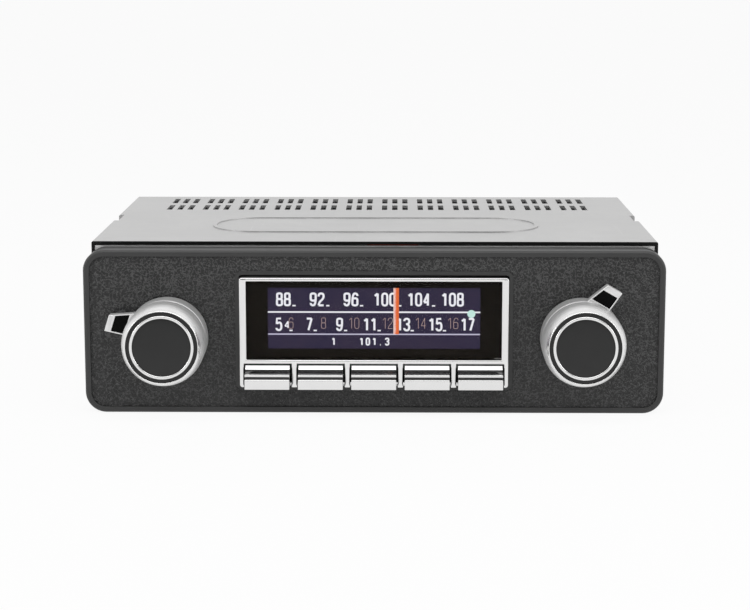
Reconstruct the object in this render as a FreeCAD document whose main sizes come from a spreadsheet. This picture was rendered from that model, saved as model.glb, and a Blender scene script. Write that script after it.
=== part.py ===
"""Car radio with two concentric knob-and-lever controls, a lit dial and five push keys.

Millimetres. X runs across the radio, Y into the dashboard, Z up. The origin is the centre of the
case's underside. The front of the case is the plane Y = -case_depth / 2, and "forward" distances
are measured from that plane towards the driver.
"""

import math
import os

import FreeCAD
import Part
import Sketcher
from FreeCAD import Placement, Rotation, Vector

# Each size is a number of millimetres, or a formula of other sizes that it follows.
SIZES = [
    # case
    ("case_width", 178.0, "width over the cover"),
    ("case_height", 53.2, "height over the cover"),
    ("case_depth", 110.0, "front edge to rear panel"),
    ("gauge", 1.0, "thickness of the steel sheet"),
    ("sheet_gap", 0.1, "gap between sheets that lie side by side"),
    ("wall_inset", 0.4, "front wall behind the cover's front edge"),
    ("wall_shadow", 0.35, "gap between front wall and cover"),
    ("flange_height", 12.0, "side flange of the tray"),
    ("cover_round", 0.6, "rounding of the cover's bends"),
    ("side_screw_inset", 12.0, "side screws inside the case's ends"),
    ("slot_width", 1.9, "vent slot across"),
    ("slot_long", 11.8, "vent slot along the case"),
    ("slot_pitch", 3.63, "vent slots within a group"),
    ("slot_group", 12.65, "from one group of slots to the next"),
    ("slot_rows", 17.4, "between the two rows of slots"),
    ("slot_back", 12.2, "rear row's middle to the rear edge"),
    ("slot_groups", 12.0, "groups of slots across the cover"),
    ("notch_front", 47.0, "side notch behind the front edge"),
    ("notch_long", 13.5, "side notch length"),
    ("notch_deep", 1.9, "side notch into the cover"),
    ("notch_tall", 4.0, "side notch down the side"),
    ("bead_wide", 108.0, "stiffening bead across"),
    ("bead_long", 34.0, "stiffening bead along the case"),
    ("bead_front", 20.0, "bead behind the front edge"),
    ("bead_ridge", 1.3, "width of the bead's ridge"),
    ("bead_rise", 0.35, "height of the bead"),
    ("bead_round", 16.0, "corner radius of the bead"),
    ("mount_spread", 50.0, "between the side mounting holes"),
    ("mount_back", 35.0, "front mounting hole behind the front edge"),
    ("mount_up", 25.0, "mounting holes above the underside"),
    ("mount_bore", 2.1, "thread core of the side mounting holes"),
    ("nut_side", 8.0, "side of the square weld nut"),
    ("nut_thick", 3.5, "thickness of the weld nut"),
    # faceplate
    ("face_overhang", 1.5, "faceplate beyond the cover on each side"),
    ("face_drop", 1.5, "top of the faceplate below the cover"),
    ("face_width", "=case_width + 2 * face_overhang", "width of the faceplate"),
    ("face_height", "=case_height - face_low - face_drop", "height of the faceplate"),
    ("face_thick", 8.0, "depth of the faceplate"),
    ("face_low", 0.2, "faceplate above the underside"),
    ("face_forward", 1.2, "back of the faceplate before the case"),
    ("face_corner", 6.5, "outer corner radius"),
    ("face_round", 0.9, "rounding of the front edge"),
    ("face_rim", 1.9, "smooth rim around the grained field"),
    ("face_recess", 0.7, "field below the rim"),
    ("field_front", "=face_forward + face_thick - face_recess", "field, forward of the case"),
    ("face_wall", 4.5, "side wall around the hollow back"),
    ("face_hollow", 3.5, "depth of the hollow back"),
    ("boss_wall", 4.0, "wall around each bushing hole"),
    ("lip_wide", 1.2, "raised lip around the nose"),
    ("lip_rise", 0.4, "height of that lip"),
    ("collar_wide", 2.4, "wall behind the lip"),
    ("gasket_inset", 3.0, "gasket inside the faceplate's outline"),
    ("gasket_wide", 3.2, "width of the foam gasket"),
    # nose: chrome frame, lens, display, keys
    ("nose_width", "=key_pitch * key_count - key_post + 2 * side_post", "width of the frame"),
    ("nose_height", "=keys_tall + mid_bar + window_height + top_bar", "height of the frame"),
    ("nose_low", 9.1, "frame above the underside"),
    ("nose_rise", 4.0, "frame in front of the faceplate's field"),
    ("nose_deep", 5.5, "depth of the frame"),
    ("nose_front", "=field_front + nose_rise", "front of the frame, forward of the case"),
    ("nose_back", "=nose_front - nose_deep", "back of the frame, forward of the case"),
    ("nose_corner", 0.9, "corner radius of the frame"),
    ("nose_gap", 0.3, "gap around the frame in the faceplate"),
    ("side_bar", 2.15, "frame beside the window"),
    ("top_bar", 1.4, "frame above the window"),
    ("window_height", 24.1, "height of the window"),
    ("mid_bar", 1.6, "frame between window and keys"),
    ("sill_height", 1.2, "bar under the keys"),
    ("sill_back", 2.7, "front of that bar behind the frame's front"),
    ("ledge", 1.5, "frame in front of the lens"),
    ("lens_lap", 0.6, "lens behind the frame on each side"),
    ("lens_thick", 1.6, "thickness of the lens"),
    ("lens_play", 0.1, "play around the lens"),
    ("frame_round", 0.35, "rounding of the frame's front edges"),
    ("display_side", 5.25, "display inside the frame's outline on each side"),
    ("display_edge", 0.85, "display inside the window's height at each edge"),
    ("display_deep", 6.2, "display front to back"),
    ("display_width", "=nose_width - 2 * display_side", "display over its rim"),
    ("display_height", "=window_height - 2 * display_edge", "display over its rim"),
    ("display_front", "=nose_front - ledge - lens_thick - display_gap", "display, forward"),
    ("board_front", "=display_front - display_deep", "front of the display board"),
    ("board_thick", 1.6, "thickness of the circuit boards"),
    ("display_gap", 0.2, "gap between display and lens"),
    ("housing_inset", 0.25, "housing inside the frame's outline"),
    ("housing_wall", 1.6, "wall of the nose housing"),
    ("housing_back", 9.0, "housing behind the case front"),
    ("housing_step", 1.5, "ledge that carries the display board"),
    ("housing_flange", 4.0, "flange behind the case front wall"),
    ("flange_thick", 1.6, "thickness of that flange"),
    ("key_count", 5.0, "push keys"),
    ("key_width", 13.9, "width of a key"),
    ("key_gap", 0.4, "gap beside a key"),
    ("key_post", 1.8, "post between two keys"),
    ("side_post", 1.4, "frame beside the outermost keys"),
    ("key_pitch", "=key_width + 2 * key_gap + key_post", "from one key to the next"),
    ("key_height", 6.9, "height of a key"),
    ("key_low_gap", 0.3, "keys above the frame's lower edge"),
    ("key_top_gap", 0.3, "gap above the keys"),
    ("keys_tall", "=key_low_gap + key_height + key_top_gap", "room for the keys"),
    ("key_low", "=nose_low + key_low_gap", "underside of the keys"),
    ("key_deep", 6.05, "key cap front to back"),
    ("key_out", 4.5, "keys in front of the frame"),
    ("key_front", "=nose_front + key_out", "front of the keys"),
    ("key_back", "=key_front - key_deep", "back of the key caps"),
    ("key_face", 3.0, "height of a key's flat front"),
    ("key_groove", 0.75, "depth of the groove above the front"),
    ("key_bead", 0.75, "height of the bead above the groove"),
    ("scoop_radius", 3.9, "hollow in the top of a key"),
    ("scoop_back", 0.25, "middle of that hollow behind the key's front"),
    ("scoop_up", 8.55, "middle of that hollow above the key's underside"),
    ("key_round", 0.3, "rounding of a key's edges"),
    ("stem_wide", 5.0, "stem behind a key"),
    ("stem_tall", 3.0, "stem behind a key"),
    ("stem_up", 4.7, "stem's middle above the key's underside"),
    ("plunger_out", 1.1, "plunger outside its switch"),
    ("stem_back", "=board_front + switch_tall + plunger_out", "end of the stem, forward"),
    ("switch_side", 6.0, "side of a key switch"),
    ("switch_tall", 3.5, "height of a key switch"),
    ("plunger_radius", 1.7, "switch plunger"),
    ("plunger_play", 0.1, "play around the plunger"),
    ("plunger_sunk", 1.9, "plunger inside its switch"),
    ("key_travel", 0.8, "travel of a key"),
    # controls
    ("shaft_inset", 24.75, "control shafts inside the case's width"),
    ("shaft_spacing", "=case_width - 2 * shaft_inset", "between the two control shafts"),
    ("shaft_up", 24.6, "shafts above the underside"),
    ("inner_radius", 3.0, "inner shaft"),
    ("running_gap", 0.05, "running clearance of the shafts"),
    ("sleeve_wall", 0.95, "wall of the hollow outer shaft"),
    ("sleeve_radius", "=inner_radius + running_gap + sleeve_wall", "outer shaft"),
    ("bushing_wall", 0.95, "wall of the threaded bushing"),
    ("bushing_radius", "=sleeve_radius + running_gap + bushing_wall", "threaded bushing"),
    ("bushing_gap", 0.3, "play of the bushing in its holes"),
    ("bushing_out", 4.0, "bushing in front of the faceplate's field"),
    ("bushing_front", "=field_front + bushing_out", "front end of the bushing"),
    ("flat_depth", 0.5, "flat on the inner shaft"),
    ("washer_wide", 3.6, "width of the washer's ring"),
    ("washer_radius", "=bushing_radius + washer_wide", "washer under the nut"),
    ("washer_thick", 0.7, "thickness of the washer"),
    ("hex_wall", 2.0, "wall of the nut at its flats"),
    ("hex_across", "=2 * (bushing_radius + hex_wall)", "nut across its flats"),
    ("hex_thick", 2.4, "thickness of the nut"),
    ("lever_gap", 1.0, "lever ring in front of the faceplate's field"),
    ("lever_deep", 6.8, "lever ring back to front"),
    ("lever_back", "=field_front + lever_gap", "back of the lever ring"),
    ("lever_front", "=lever_back + lever_deep", "front of the lever ring"),
    ("hollow_play", 1.1, "hollow of the lever ring around the washer"),
    ("lever_hollow", "=washer_radius + hollow_play", "hollow over the nut"),
    ("lever_wall", 2.95, "rim of the lever ring"),
    ("lever_radius", "=lever_hollow + lever_wall", "lever ring"),
    ("lever_web", 2.8, "front wall of the lever ring"),
    ("lever_chamfer", 0.6, "bevel of the lever ring's front edge"),
    ("tab_long", 6.3, "tab beyond the ring"),
    ("tab_reach", "=lever_radius + tab_long", "tab from the shaft's middle"),
    ("tab_high_root", 5.3, "upper side from the tab's middle line, inside the ring"),
    ("tab_high_tip", 2.3, "upper side from the tab's middle line, at the end"),
    ("tab_low_root", 2.2, "lower side from the tab's middle line, inside the ring"),
    ("tab_low_tip", 2.85, "lower side from the tab's middle line, at the end"),
    ("tab_round", 0.2, "rounding of the tab's front edges"),
    ("tab_sunk", 0.7, "tab behind the ring's front"),
    ("tab_back", "=lever_front - tab_sunk - tab_thick", "back of the tab"),
    ("tab_thick", 3.2, "thickness of the tab"),
    ("tab_border", 0.4, "border beside the tab's inlay"),
    ("tab_end_border", 2.0, "border at the tab's end"),
    ("tab_start", 0.2, "tab's recess beyond the ring"),
    ("inlay_deep", 0.5, "depth of the tab's recess"),
    ("inlay_thick", 0.35, "inlay in that recess"),
    ("knob_gap", 1.0, "knob in front of the lever ring"),
    ("knob_skirt", 5.5, "straight part of the knob"),
    ("knob_taper", 3.9, "tapered part of the knob"),
    ("knob_back", "=lever_front + knob_gap", "back of the knob"),
    ("knob_waist", "=knob_back + knob_skirt", "where the knob starts to taper"),
    ("knob_front", "=knob_waist + knob_taper", "front of the knob"),
    ("knob_radius", 12.75, "knob"),
    ("knob_mouth", 11.1, "front edge of the knob"),
    ("knob_belly", 0.35, "share of the taper that is reached half way along it"),
    ("knob_wall", 1.3, "wall of the knob shell"),
    ("knob_hub", 5.2, "hub of the knob"),
    ("hub_inset", 0.4, "hub inside the knob's back"),
    ("knob_floor", 1.6, "wall behind the insert"),
    ("rim_wide", 0.3, "edge of the shell around the insert"),
    ("insert_thick", 1.7, "black insert"),
    ("insert_sunk", 0.5, "black ring below the knob's front"),
    ("ring_outer", 9.85, "chrome ring in the insert"),
    ("ring_inner", 8.9, "chrome ring in the insert"),
    ("ring_rise", 0.25, "chrome ring above the knob's front"),
    ("ring_sunk", 0.5, "chrome ring let into the insert"),
    ("cap_rise", 0.1, "black middle above the knob's front"),
    ("cap_dome", 0.3, "crown of the black middle"),
    ("crown_radius", 5.34, "flatter middle of the crown"),
    ("crown_drop", 0.06, "fall of the crown over that middle"),
    ("encoder_side", 20.0, "control housing"),
    ("encoder_deep", 12.0, "control housing"),
    ("encoder_front_wall", 1.5, "wall around the bushing"),
    ("encoder_bore", 8.0, "inside of the control housing"),
    ("wiper_radius", 7.0, "discs inside the control"),
    ("wiper_thick", 1.8, "disc on the outer shaft"),
    ("rotor_thick", 3.2, "disc on the inner shaft"),
    ("axial_play", 0.3, "play between the discs"),
    ("shaft_tail", 10.2, "inner shaft behind the case front"),
    ("push_side", 5.0, "push switch behind the shaft"),
    ("push_travel", 0.6, "travel of a knob when pushed"),
    ("push_gap", 0.1, "gap left at the end of that travel"),
    ("control_board", 22.0, "side of the control's circuit board"),
    # inside the case
    ("main_side_gap", 14.0, "main board inside the case's width"),
    ("main_front_gap", 30.0, "main board behind the case's front"),
    ("main_back_gap", 5.0, "main board before the rear panel"),
    ("main_width", "=case_width - 2 * main_side_gap", "main board across"),
    ("main_deep", "=case_depth - gauge - main_back_gap - main_front_gap", "main board"),
    ("standoff_tall", 6.0, "standoffs under the main board"),
    ("standoff_radius", 3.0, "standoff"),
    ("standoff_inset", 5.0, "standoffs inside the board's corners"),
    ("screw_radius", 1.45, "small screws"),
    ("screw_head", 2.7, "small screws' heads"),
    ("screw_head_tall", 1.5, "small screws' heads"),
    ("screw_long", 5.0, "small screws' shanks"),
    ("screw_play", 0.15, "play around a small screw"),
    ("can_wide", 34.0, "tuner can"),
    ("can_deep", 26.0, "tuner can"),
    ("can_tall", 12.0, "tuner can"),
    ("can_side", 8.0, "tuner can inside the board's side"),
    ("can_back", 16.0, "tuner can inside the board's rear edge"),
    ("chip_wide", 23.0, "amplifier chip"),
    ("chip_thick", 4.5, "amplifier chip"),
    ("chip_tall", 17.0, "amplifier chip"),
    ("cap_radius", 5.0, "capacitors"),
    ("cap_tall", 16.0, "capacitors"),
    ("cap_pitch", 13.0, "from one capacitor to the next"),
    ("cap_count", 4.0, "capacitors"),
    ("cap_back", 18.0, "capacitors inside the board's rear edge"),
    ("small_chip_tall", 2.2, "small chips"),
    ("ribbon_thick", 0.6, "flat cables"),
    ("ribbon_wide", 12.0, "flat cables"),
    ("ribbon_bend", 3.0, "inner bend of the flat cables"),
    ("ribbon_shift", 5.0, "control cables inwards from the shafts"),
    ("ribbon_landing", 4.0, "cables' ends inside the board's front edge"),
    # rear
    ("aerial_x", -62.0, "aerial socket across"),
    ("aerial_up", 20.0, "aerial socket above the underside"),
    ("aerial_bore", 4.6, "bore of the aerial socket"),
    ("aerial_radius", 6.2, "aerial socket"),
    ("aerial_out", 6.0, "aerial socket behind the rear panel"),
    ("aerial_in", 12.0, "aerial socket inside the case"),
    ("aerial_floor", 2.0, "closed end of the aerial socket"),
    ("contact_radius", 1.5, "aerial contact"),
    ("contact_tail", 3.0, "aerial contact behind its socket"),
    ("socket_x", -24.0, "wiring socket across"),
    ("socket_up", 17.0, "wiring socket above the underside"),
    ("socket_wide", 36.0, "wiring socket"),
    ("socket_tall", 13.0, "wiring socket"),
    ("socket_out", 4.0, "wiring socket behind the rear panel"),
    ("socket_in", 13.0, "wiring socket inside the case"),
    ("socket_wall", 1.5, "wall of the wiring socket"),
    ("socket_floor", 3.0, "closed end of the wiring socket"),
    ("pin_side", 0.7, "contact pins"),
    ("pin_pitch", 4.0, "contact pins"),
    ("pin_long", 8.5, "contact pins"),
    ("pin_columns", 8.0, "contact pins in a row"),
    ("jack_x", -51.0, "line sockets across"),
    ("jack_up", 39.0, "line sockets above the underside"),
    ("jack_pitch", 16.0, "between the line sockets"),
    ("jack_radius", 4.15, "line sockets"),
    ("jack_neck", 0.55, "step from the sleeve in to its neck in the panel"),
    ("jack_bore", 3.5, "inside of the line sockets' sleeves"),
    ("jack_pin", 1.65, "hole for the plug's pin"),
    ("jack_floor", 1.0, "closed end of the line sockets"),
    ("jack_out", 9.0, "line sockets behind the rear panel"),
    ("fuse_x", 5.5, "fuse across"),
    ("fuse_wide", 19.0, "blade fuse"),
    ("fuse_tall", 5.2, "blade fuse"),
    ("fuse_out", 6.0, "blade fuse behind the rear panel"),
    ("fuse_up", 34.0, "fuse above the underside"),
    ("sink_x", 50.0, "heat sink across"),
    ("sink_wide", 64.0, "heat sink"),
    ("sink_tall", 42.0, "heat sink"),
    ("sink_base", 3.0, "base of the heat sink"),
    ("sink_fin", 9.0, "fins of the heat sink"),
    ("fin_thick", 1.4, "a fin"),
    ("fin_count", 13.0, "fins"),
    ("sink_screw_inset", 5.0, "screws inside the heat sink's sides"),
    ("access_play", 0.6, "gap between the fins around a screw's head"),
    ("stud_radius", 2.5, "support stud"),
    ("stud_neck", 0.4, "step from the stud in to its neck in the panel"),
    ("stud_out", 12.0, "support stud behind the rear panel"),
    ("stud_head", 5.0, "stud's plate inside the case"),
    ("stud_x", -14.0, "support stud across"),
    ("stud_up", 43.0, "support stud above the underside"),
]


# ---------------------------------------------------------------- lengths that follow the sheet

class Size:
    """A length: the value it has now and the spreadsheet formula that gives it."""

    def __init__(self, value, formula=None):
        self.value = float(value)
        self.formula = formula or f"({float(value)})"

    def __add__(self, other):
        other = as_size(other)
        return Size(self.value + other.value, f"({self.formula} + {other.formula})")

    def __sub__(self, other):
        other = as_size(other)
        return Size(self.value - other.value, f"({self.formula} - {other.formula})")

    def __mul__(self, other):
        other = as_size(other)
        return Size(self.value * other.value, f"({self.formula} * {other.formula})")

    def __truediv__(self, other):
        other = as_size(other)
        return Size(self.value / other.value, f"({self.formula} / {other.formula})")

    def __radd__(self, other):
        return as_size(other) + self

    def __rsub__(self, other):
        return as_size(other) - self

    def __rmul__(self, other):
        return as_size(other) * self

    def __neg__(self):
        return as_size(0) - self


def as_size(length):
    return length if isinstance(length, Size) else Size(length)


class Sheet:
    """The spreadsheet of sizes; each size is read as an attribute."""

    def __init__(self, doc):
        cells = doc.addObject("Spreadsheet::Sheet", "Sizes")
        for row, (alias, value, meaning) in enumerate(SIZES, start=1):
            cells.set(f"A{row}", str(value))
            cells.setAlias(f"A{row}", alias)
            cells.set(f"B{row}", meaning)
        doc.recompute()
        for alias, _, _ in SIZES:
            setattr(self, alias, Size(getattr(cells, alias), f"Sizes.{alias}"))


doc = FreeCAD.newDocument("CarRadio")
s = Sheet(doc)
SUB_PARTS = []
SIDES = (("left", -1), ("right", 1))
QUARTER_TURN = math.pi / 2


def sub_part(label, item):
    """Gives a finished object its label, which names its file."""
    item.Label = label
    SUB_PARTS.append(item)
    return item


def bind(item, prop, length):
    item.setExpression(prop, as_size(length).formula)


def forward(length):
    """Y of a point that far in front of the case."""
    return -(s.case_depth / 2) - length


# ---------------------------------------------------------------- Part primitives

def put(item, x, y, z):
    for axis, length in zip("xyz", (x, y, z)):
        bind(item, f"Placement.Base.{axis}", length)
    return item


def box(name, low, extent):
    """A block from its low corner."""
    item = doc.addObject("Part::Box", name)
    for prop, length in zip(("Length", "Width", "Height"), extent):
        bind(item, prop, length)
    return put(item, *low)


TURNS = {
    "Z": Rotation(),
    "forward": Rotation(Vector(1, 0, 0), 90),
    "rearward": Rotation(Vector(1, 0, 0), -90),
    "X": Rotation(Vector(0, 1, 0), 90),
    "-X": Rotation(Vector(0, 1, 0), -90),
}


def rod(name, start, radius, length, way="Z"):
    """A cylinder from the middle of one end."""
    item = doc.addObject("Part::Cylinder", name)
    item.Placement = Placement(Vector(), TURNS[way])
    bind(item, "Radius", radius)
    bind(item, "Height", length)
    return put(item, *start)


def joined(name, *items):
    item = doc.addObject("Part::MultiFuse", name)
    item.Shapes = list(items)
    item.Refine = True
    return item


def cut(name, base, *tools):
    item = doc.addObject("Part::Cut", name)
    item.Base = base
    item.Tool = tools[0] if len(tools) == 1 else joined(name + "_tools", *tools)
    item.Refine = True
    return item


def group(name, items):
    """Several equal pieces that share one node."""
    item = doc.addObject("Part::Compound", name)
    item.Links = list(items)
    return item


# ---------------------------------------------------------------- PartDesign bodies and sketches

def new_body(name, x=0, y=0, z=0):
    return put(doc.addObject("PartDesign::Body", name), x, y, z)


def new_sketch(body, role, offset=0):
    """An empty sketch on one of the body's own planes, moved along that plane's normal."""
    drawing = body.newObject("Sketcher::SketchObject", body.Name + "_sketch")
    plane = next(item for item in body.Origin.OriginFeatures if item.Role == role)
    drawing.AttachmentSupport = [(plane, "")]
    drawing.MapMode = "FlatFace"
    bind(drawing, "AttachmentOffset.Base.z", offset)
    return drawing


def measure(drawing, kind, where, length):
    """A dimension in a sketch, bound to the sheet."""
    number = drawing.addConstraint(Sketcher.Constraint(kind, *where, as_size(length).value))
    drawing.setExpression(f"Constraints[{number}]", as_size(length).formula)


def hold_point(drawing, edge, end, x, y):
    """Fixes a point of the sketch; a plain 0 puts it on that axis."""
    for kind, axis, length in (("DistanceX", -2, x), ("DistanceY", -1, y)):
        if isinstance(length, Size):
            measure(drawing, kind, (-1, 1, edge, end), length)
        else:
            drawing.addConstraint(Sketcher.Constraint("PointOnObject", edge, end, axis))


def draw_outline(drawing, corners):
    """A closed run of straight edges; each corner is (x, y), a Size or a plain 0."""
    first = drawing.GeometryCount
    spots = [Vector(as_size(x).value, as_size(y).value, 0) for x, y in corners]
    count = len(spots)
    for number, spot in enumerate(spots):
        drawing.addGeometry(Part.LineSegment(spot, spots[(number + 1) % count]))
    for number, (x, y) in enumerate(corners):
        after = first + (number + 1) % count
        drawing.addConstraint(Sketcher.Constraint("Coincident", first + number, 2, after, 1))
        hold_point(drawing, first + number, 1, x, y)


def draw_circle(drawing, x, y, radius):
    middle = Vector(as_size(x).value, as_size(y).value, 0)
    edge = drawing.addGeometry(Part.Circle(middle, Vector(0, 0, 1), as_size(radius).value))
    hold_point(drawing, edge, 3, x, y)
    measure(drawing, "Radius", (edge,), radius)


def draw_rectangle(drawing, low_x, low_y, width, height):
    high_x, high_y = low_x + width, low_y + height
    corners = [(low_x, low_y), (high_x, low_y), (high_x, high_y), (low_x, high_y)]
    draw_outline(drawing, corners)


def draw_rounded(drawing, low_x, low_y, width, height, radius):
    """A rectangle with four equal round corners."""
    x0, y0 = low_x.value, low_y.value
    x1, y1, r = x0 + width.value, y0 + height.value, radius.value
    ends = [
        ((x0 + r, y0), (x1 - r, y0)),
        ((x1, y0 + r), (x1, y1 - r)),
        ((x1 - r, y1), (x0 + r, y1)),
        ((x0, y1 - r), (x0, y0 + r)),
    ]
    middles = [(x1 - r, y0 + r), (x1 - r, y1 - r), (x0 + r, y1 - r), (x0 + r, y0 + r)]
    lines = [
        drawing.addGeometry(Part.LineSegment(Vector(*a, 0), Vector(*b, 0))) for a, b in ends
    ]
    arcs = []
    for quarter, middle in enumerate(middles):
        whole = Part.Circle(Vector(*middle, 0), Vector(0, 0, 1), r)
        start = (quarter - 1) * QUARTER_TURN
        arcs.append(drawing.addGeometry(Part.ArcOfCircle(whole, start, start + QUARTER_TURN)))
    for number in range(4):
        line, arc, after = lines[number], arcs[number], lines[(number + 1) % 4]
        drawing.addConstraint(Sketcher.Constraint("Tangent", line, 2, arc, 1))
        drawing.addConstraint(Sketcher.Constraint("Tangent", arc, 2, after, 1))
        kind = "Horizontal" if number % 2 == 0 else "Vertical"
        drawing.addConstraint(Sketcher.Constraint(kind, line))
    for arc in arcs[1:]:
        drawing.addConstraint(Sketcher.Constraint("Equal", arcs[0], arc))
    measure(drawing, "Radius", (arcs[0],), radius)
    measure(drawing, "DistanceX", (-1, 1, lines[3], 1), low_x)
    measure(drawing, "DistanceX", (lines[3], 1, lines[1], 1), width)
    measure(drawing, "DistanceY", (-1, 1, lines[0], 1), low_y)
    measure(drawing, "DistanceY", (lines[0], 1, lines[2], 1), height)


def feature(body, kind, drawing, length=None, reverse=False):
    item = body.newObject(f"PartDesign::{kind}", f"{body.Name}_{kind.lower()}")
    item.Profile = drawing
    if length is not None:
        bind(item, "Length", length)
    item.Reversed = reverse
    return item


def pad(body, drawing, length, reverse=False):
    return feature(body, "Pad", drawing, length, reverse)


def pocket(body, drawing, length, reverse=False):
    """Takes material away, and stops the build if the cut misses the body."""
    doc.recompute()
    before = body.Shape.Volume
    item = feature(body, "Pocket", drawing, length, reverse)
    doc.recompute()
    if body.Shape.Volume > before - 1e-6:
        raise RuntimeError(f"{item.Name} cuts nothing")
    return item


def turned(body, corners):
    """A solid of revolution about the body's Y axis; corners are (radius, y)."""
    drawing = new_sketch(body, "XY_Plane")
    draw_outline(drawing, corners)
    item = feature(body, "Revolution", drawing)
    item.ReferenceAxis = (drawing, ["V_Axis"])
    item.Angle = 360
    return item


def edges_where(shape, test):
    """Names of the edges whose two ends and middle all pass the test."""
    names = []
    for number, edge in enumerate(shape.Edges, start=1):
        middle = edge.valueAt((edge.FirstParameter + edge.LastParameter) / 2)
        if all(test(point) for point in [middle] + [vertex.Point for vertex in edge.Vertexes]):
            names.append(f"Edge{number}")
    return names


def rounded(body, radius, test, kind="Fillet"):
    """Rounds (or chamfers) the edges of the body's tip that pass the test."""
    doc.recompute()
    base = body.Tip
    item = body.newObject(f"PartDesign::{kind}", f"{body.Name}_{kind.lower()}")
    item.Base = (base, edges_where(base.Shape, test))
    bind(item, "Radius" if kind == "Fillet" else "Size", radius)
    return item


def near(a, b):
    return abs(a - b) < 1e-4


# ---------------------------------------------------------------- the case

def make_chassis_tray():
    """Folded steel tray: floor, front wall and two low side flanges."""
    inner = s.case_width / 2 - s.gauge - s.sheet_gap
    wall_y = forward(-s.wall_inset)
    rear_y = s.case_depth / 2 - s.gauge - s.sheet_gap
    depth = rear_y - wall_y
    wall_height = s.case_height - s.gauge - s.wall_shadow
    floor = box("tray_floor", (-inner, wall_y, 0), (inner * 2, depth, s.gauge))
    wall = box("tray_wall", (-inner, wall_y, 0), (inner * 2, s.gauge, wall_height))
    flanges = [
        box(f"tray_flange_{side}", (x, wall_y, 0), (s.gauge, depth, s.flange_height))
        for side, x in (("left", -inner), ("right", inner - s.gauge))
    ]
    sheet = joined("tray_sheet", floor, wall, *flanges)
    nose_opening = box(
        "tray_nose_hole",
        (-(s.nose_width / 2), wall_y - 1, s.nose_low),
        (s.nose_width, s.gauge + 2, s.nose_height),
    )
    shaft_holes = [
        rod(
            f"tray_shaft_hole_{side}",
            (s.shaft_spacing * sign / 2, wall_y + s.gauge + 1, s.shaft_up),
            s.bushing_radius + s.bushing_gap,
            s.gauge + 2,
            "forward",
        )
        for side, sign in SIDES
    ]
    screw_holes = [
        rod(
            f"tray_screw_hole_{number}",
            (x, y, screw_line()),
            s.screw_radius + s.screw_play / 3,
            s.gauge + 2,
            "X",
        )
        for number, (x, y) in enumerate(
            (x, y) for x in (-inner - 1, inner - s.gauge - 1) for y in side_screw_places()
        )
    ]
    stand_holes = [
        rod(
            f"tray_stand_hole_{number}",
            (x, y, -1),
            s.screw_radius + s.screw_play / 3,
            s.gauge + 2,
        )
        for number, (x, y) in enumerate(standoff_places())
    ]
    tools = [nose_opening] + shaft_holes + screw_holes + stand_holes
    sub_part("chassis_tray", cut("chassis_tray", sheet, *tools))


def screw_line():
    """Height of the screws through the case's sides."""
    return s.flange_height / 2 + s.gauge / 2


def side_screw_places():
    """Y of the screws through each side of the case."""
    return [forward(-s.side_screw_inset), s.case_depth / 2 - s.side_screw_inset]


def make_top_cover():
    """Steel cover bent over the top and both sides, with two rows of vent slots."""
    body = new_body("top_cover")
    half, height = s.case_width / 2, s.case_height
    profile = new_sketch(body, "XZ_Plane", s.case_depth / 2)
    draw_outline(
        profile,
        [
            (-half, Size(0)),
            (-half, height),
            (half, height),
            (half, Size(0)),
            (half - s.gauge, Size(0)),
            (half - s.gauge, height - s.gauge),
            (-half + s.gauge, height - s.gauge),
            (-half + s.gauge, Size(0)),
        ],
    )
    pad(body, profile, s.case_depth, reverse=True)
    rounded(
        body,
        s.cover_round,
        lambda p: near(abs(p.x), half.value) and near(p.z, height.value),
    )
    notches = new_sketch(body, "XY_Plane", height)
    for low in (-half - 1, half - s.notch_deep):
        draw_rectangle(notches, low, forward(-s.notch_front), s.notch_deep + 1, s.notch_long)
    pocket(body, notches, s.notch_tall)
    screws = new_sketch(body, "YZ_Plane", half + 1)
    for y in side_screw_places():
        draw_circle(screws, y, screw_line(), s.screw_radius + s.screw_play)
    for y in mount_places():
        draw_circle(screws, y, s.mount_up, s.mount_bore)
    pocket(body, screws, s.case_width + 2)
    bead = new_sketch(body, "XY_Plane", height)
    low_x, low_y = -(s.bead_wide / 2), forward(-s.bead_front)
    ridge = s.bead_ridge
    draw_rounded(bead, low_x, low_y, s.bead_wide, s.bead_long, s.bead_round)
    draw_rounded(
        bead,
        low_x + ridge,
        low_y + ridge,
        s.bead_wide - ridge * 2,
        s.bead_long - ridge * 2,
        s.bead_round - ridge,
    )
    pad(body, bead, s.bead_rise)
    slots = new_sketch(body, "XY_Plane", height)
    first = -(s.slot_group * (s.slot_groups - 1) / 2) - s.slot_pitch
    for place in range(3):
        for row in range(2):
            middle_y = s.case_depth / 2 - s.slot_back - s.slot_rows * row
            low = first + s.slot_pitch * place - s.slot_width / 2
            draw_rectangle(slots, low, middle_y - s.slot_long / 2, s.slot_width, s.slot_long)
    one_group = pocket(body, slots, s.gauge * 2)
    pattern = body.newObject("PartDesign::LinearPattern", "slot_groups_pattern")
    pattern.Originals = [one_group]
    pattern.Direction = (slots, ["H_Axis"])
    bind(pattern, "Length", s.slot_group * (s.slot_groups - 1))
    bind(pattern, "Occurrences", s.slot_groups)
    body.Tip = pattern
    sub_part("top_cover", body)


def mount_places():
    """Y of the side mounting holes."""
    return [forward(-s.mount_back), forward(-s.mount_back) + s.mount_spread]


def make_weld_nuts():
    """Square nuts welded inside the cover behind the mounting holes."""
    nuts = []
    for side, sign in SIDES:
        wall = (s.case_width / 2 - s.gauge) * sign
        low = wall if sign < 0 else wall - s.nut_thick
        for number, y in enumerate(mount_places()):
            name = f"weld_nut_{side}_{number}"
            block = box(
                name + "_block",
                (low, y - s.nut_side / 2, s.mount_up - s.nut_side / 2),
                (s.nut_thick, s.nut_side, s.nut_side),
            )
            thread = rod(name + "_thread", (low - 1, y, s.mount_up), s.mount_bore, s.nut_thick + 2, "X")
            nuts.append(cut(name, block, thread))
    sub_part("weld_nuts", group("weld_nuts", nuts))


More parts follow.
